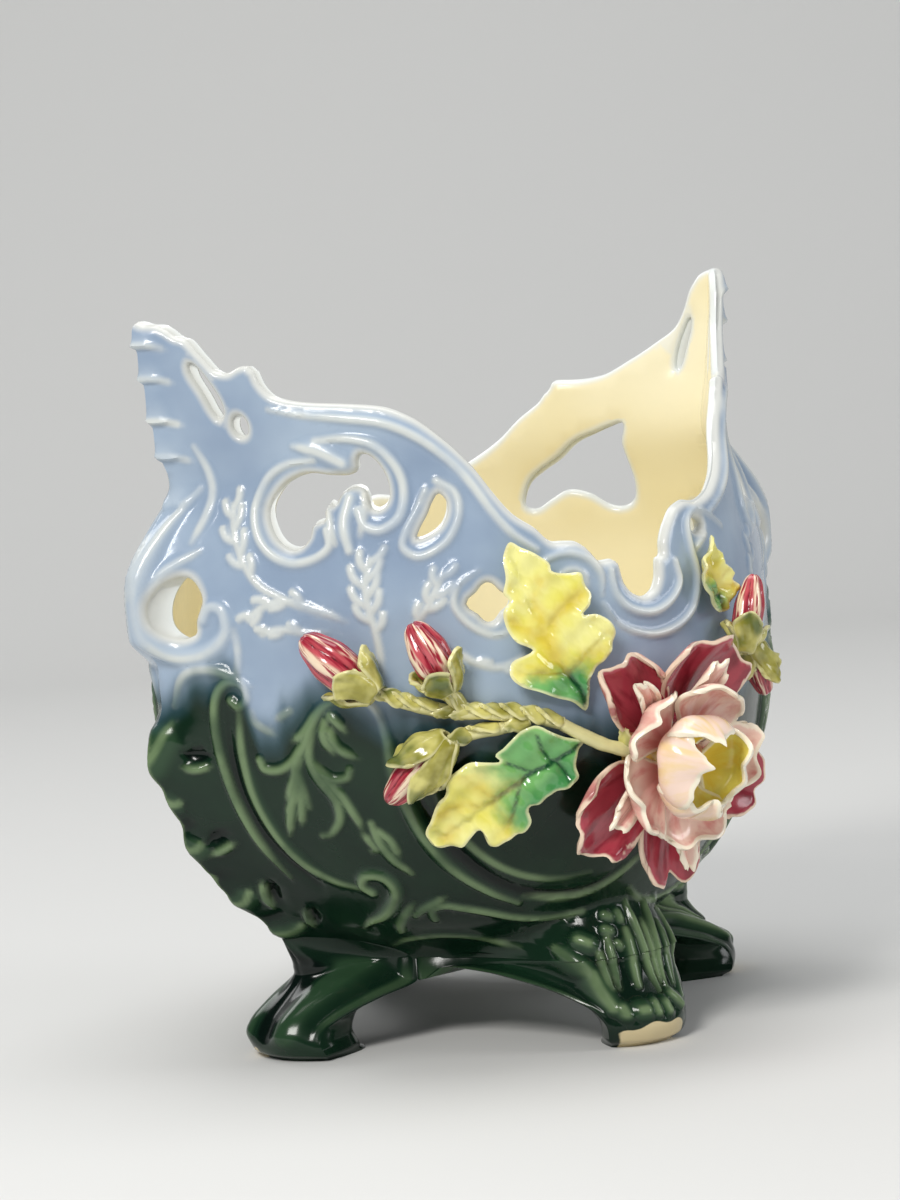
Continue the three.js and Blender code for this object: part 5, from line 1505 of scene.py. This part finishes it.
def stemTree(material, bract):
    tree = bpy.data.node_groups.new("stem with bracts", "GeometryNodeTree")
    for name, kind in (("Geometry", "Geometry"), ("Radius", "Float"), ("Bracts", "Int"),
                       ("Seed", "Int"), ("Bract size", "Float")):
        tree.interface.new_socket(name, in_out="INPUT", socket_type="NodeSocket" + kind)
    tree.interface.new_socket("Geometry", in_out="OUTPUT", socket_type="NodeSocketGeometry")
    start = addNode(tree, "NodeGroupInput").outputs

    def made(kind, inputs=(), output=0, **settings):
        return addNode(tree, kind, inputs, **settings).outputs[output]

    def random(low, high):
        inputs = {2: low, 3: high, "Seed": start["Seed"]}
        return made("FunctionNodeRandomValue", inputs, 1, data_type="FLOAT")

    curve = made("GeometryNodeMeshToCurve", {0: start["Geometry"]})
    # the stem, knotty along its length
    inputs = {"Vector": made("GeometryNodeInputPosition"), "Scale": stemShape["knotScale"],
              "Detail": 1.0}
    knots = made("ShaderNodeTexNoise", inputs, "Fac")
    swell = calc(tree, "MULTIPLY_ADD", knots, stemShape["knotDepth"], stemShape["thinnest"])
    size = times(tree, start["Radius"], swell)
    inputs = {"Curve": curve, "Length": stemShape["step"]}
    fine = made("GeometryNodeResampleCurve", inputs, mode="LENGTH")
    thick = made("GeometryNodeSetCurveRadius", {"Curve": fine, "Radius": size})
    inputs = {"Resolution": stemShape["sides"], "Radius": 1.0}
    inputs = {"Curve": thick, "Profile Curve": made("GeometryNodeCurvePrimitiveCircle", inputs),
              "Fill Caps": True}
    sweep = addNode(tree, "GeometryNodeCurveToMesh", inputs)
    if "Scale" in sweep.inputs:
        tree.links.new(size, sweep.inputs["Scale"])
    # bracts that clasp it, facing the viewer and rolled to either side
    inputs = {"Curve": curve, "Count": start["Bracts"]}
    places = made("GeometryNodeResampleCurve", inputs, mode="COUNT")
    points = addNode(tree, "GeometryNodeCurveToPoints", {"Curve": places}, mode="EVALUATED").outputs
    inputs = {0: random(-stemShape["roll"], stemShape["roll"]), 1: stemShape["lean"], 2: 0.0}
    lean = made("ShaderNodeCombineXYZ", inputs)
    align = "FunctionNodeAlignEulerToVector"
    outwards = made(align, {"Vector": points["Tangent"]}, axis="X")
    inputs = {"Rotation": outwards, "Vector": stemShape["facing"]}
    upright = made(align, inputs, axis="Z", pivot_axis="X")
    inputs = {"Rotation": upright, "Rotate By": lean}
    turned = made("FunctionNodeRotateEuler", inputs, space="LOCAL")
    scale = times(tree, random(stemShape["smallest"], stemShape["largest"]), start["Bract size"])
    source = made("GeometryNodeObjectInfo", {"Object": bract}, "Geometry")
    scales = made("GeometryNodeInstanceOnPoints", {
        "Points": points[0], "Instance": source, "Rotation": turned, "Scale": scale})
    joined = addNode(tree, "GeometryNodeJoinGeometry")
    for part in (scales, sweep.outputs[0]):
        tree.links.new(part, joined.inputs[0])
    real = made("GeometryNodeRealizeInstances", {0: joined.outputs[0]})
    smooth = made("GeometryNodeSetShadeSmooth", {0: real})
    painted = made("GeometryNodeSetMaterial", {0: smooth, "Material": material})
    tree.links.new(painted, addNode(tree, "NodeGroupOutput").inputs[0])
    return tree


def stemPiece(name, item, tree, seed):
    line = smoothLine(item["line"], per=10)
    places = onWall(line[:, 0], line[:, 1], line[:, 2]) * millimetre + planCentre
    mesh = bpy.data.meshes.new(name + " line")
    mesh.from_pydata(places.tolist(), [(i, i + 1) for i in range(len(places) - 1)], [])
    holder = linked(name + " line", mesh)
    modifier = holder.modifiers.new("stem", "NODES")
    modifier.node_group = tree
    ids = {one.name: one.identifier for one in tree.interface.items_tree if one.in_out == "INPUT"}
    inputs = {"Radius": item["radius"] * millimetre, "Bracts": item["bracts"], "Seed": seed,
              "Bract size": 1.0}
    for key, value in inputs.items():
        modifier[ids[key]] = value
    graph = bpy.context.evaluated_depsgraph_get()
    made = bpy.data.meshes.new_from_object(holder.evaluated_get(graph))
    made.name = name
    bpy.data.objects.remove(holder)
    return linked(name, made)


stemGlaze = glazeMaterial("stem glaze", olivePaint, .22, .6)
firstSeed = 2
bract = bractMesh(stemGlaze)
stemNodes = stemTree(stemGlaze, bract)
for seed, (name, item) in enumerate(stems.items()):
    piece = stemPiece(f"stem_{name}_glazed", item, stemNodes, seed + firstSeed)
    settled(piece, [f"stem_{name}"], "stem_glaze")
bpy.data.objects.remove(bract)
print("stems built")


# camera, floor and light

camera = {"ahead": (.541, .836, -.0919), "place": (-.7445, -1.1399, .2702), "roll": -.0831,
          "lens": 118.8}
backdrop = {"from": -3, "bend": 1.2, "radius": .6, "top": 3.2, "halfWidth": 3.5,
            "facing": (.541, .841), "colour": (214, 214, 212)}
potMiddle = (0, .016, .12)
lamps = {  # place, size, power and colour
    "key": ((-1.15, -.75, 1.15), (.5, .5), 19, (1, .98, .95)),
    "fill": ((1.1, -1.2, .7), (.5, .7), 6, (.97, .98, 1)),
    "above": ((.1, .1, 1.7), (1.0, 1.0), 11, (1, 1, 1)),
    "behind": ((-.3, 1.3, 1.1), (.8, .5), 4, (1, 1, 1)),
}
sky = {"colour": (.9, .92, .95, 1), "strength": .42, "reflected": .05}


def areaLight(name, place, size, power, colour):
    lamp = bpy.data.lights.new(name, "AREA")
    lamp.shape = "RECTANGLE"
    lamp.size, lamp.size_y = size
    lamp.energy = power
    lamp.color = colour
    holder = linked(name, lamp)
    holder.location = place
    holder.rotation_euler = (Vector(potMiddle) - Vector(place)).to_track_quat("-Z", "Y").to_euler()


def photoCamera():
    ahead = Vector(camera["ahead"]).normalized()
    level = ahead.cross(Vector((0, 0, 1))).normalized()
    upright = level.cross(ahead)
    cos, sin = math.cos(camera["roll"]), math.sin(camera["roll"])
    right, up = level * cos + upright * sin, upright * cos - level * sin
    place = Vector(camera["place"]) + Vector(planCentre)
    data = bpy.data.cameras.new("camera")
    data.lens = camera["lens"]
    holder = linked("camera", data)
    rows = [(right[i], up[i], -ahead[i], place[i]) for i in range(3)]
    holder.matrix_world = Matrix(rows + [(0, 0, 0, 1)])
    bpy.context.scene.camera = holder


def floorAndBackdrop():
    bend, radius = backdrop["bend"], backdrop["radius"]
    profile = [(backdrop["from"], 0), (bend, 0)]
    profile += [(bend + radius * math.sin(t), radius - radius * math.cos(t))
                for t in np.linspace(.1, math.pi / 2, 12)]
    profile.append((bend + radius, backdrop["top"]))
    direction = np.array(backdrop["facing"])
    across = direction[::-1] * (1, -1)
    verts = [tuple(direction * reach + across * width) + (z,)
             for reach, z in profile for width in (-backdrop["halfWidth"], backdrop["halfWidth"])]
    faces = [(2 * i, 2 * i + 1, 2 * i + 3, 2 * i + 2) for i in range(len(profile) - 1)]
    mesh = bpy.data.meshes.new("floor")
    mesh.from_pydata(verts, [], faces)
    mesh.polygons.foreach_set("use_smooth", [True] * len(faces))
    material = bpy.data.materials.new("pale floor")
    material.use_nodes = True
    shader = material.node_tree.nodes["Principled BSDF"]
    shader.inputs["Base Color"].default_value = linear(*backdrop["colour"])
    shader.inputs["Roughness"].default_value = .8
    mesh.materials.append(material)
    linked("floor", mesh)


def skyLight():  # weaker in reflections, so that the glaze stays dark
    world = bpy.context.scene.world or bpy.data.worlds.new("world")
    bpy.context.scene.world = world
    world.use_nodes = True
    tree = world.node_tree
    background = tree.nodes["Background"]
    background.inputs[0].default_value = sky["colour"]
    path = addNode(tree, "ShaderNodeLightPath").outputs["Is Glossy Ray"]
    strength = addNode(tree, "ShaderNodeMapRange",
                       {0: path, 3: sky["strength"], 4: sky["reflected"]})
    tree.links.new(strength.outputs[0], background.inputs[1])


photoCamera()
floorAndBackdrop()
for name, lamp in lamps.items():
    areaLight(name, *lamp)
skyLight()
bpy.context.scene.view_settings.view_transform = "Standard"
print("camera, floor and light set")
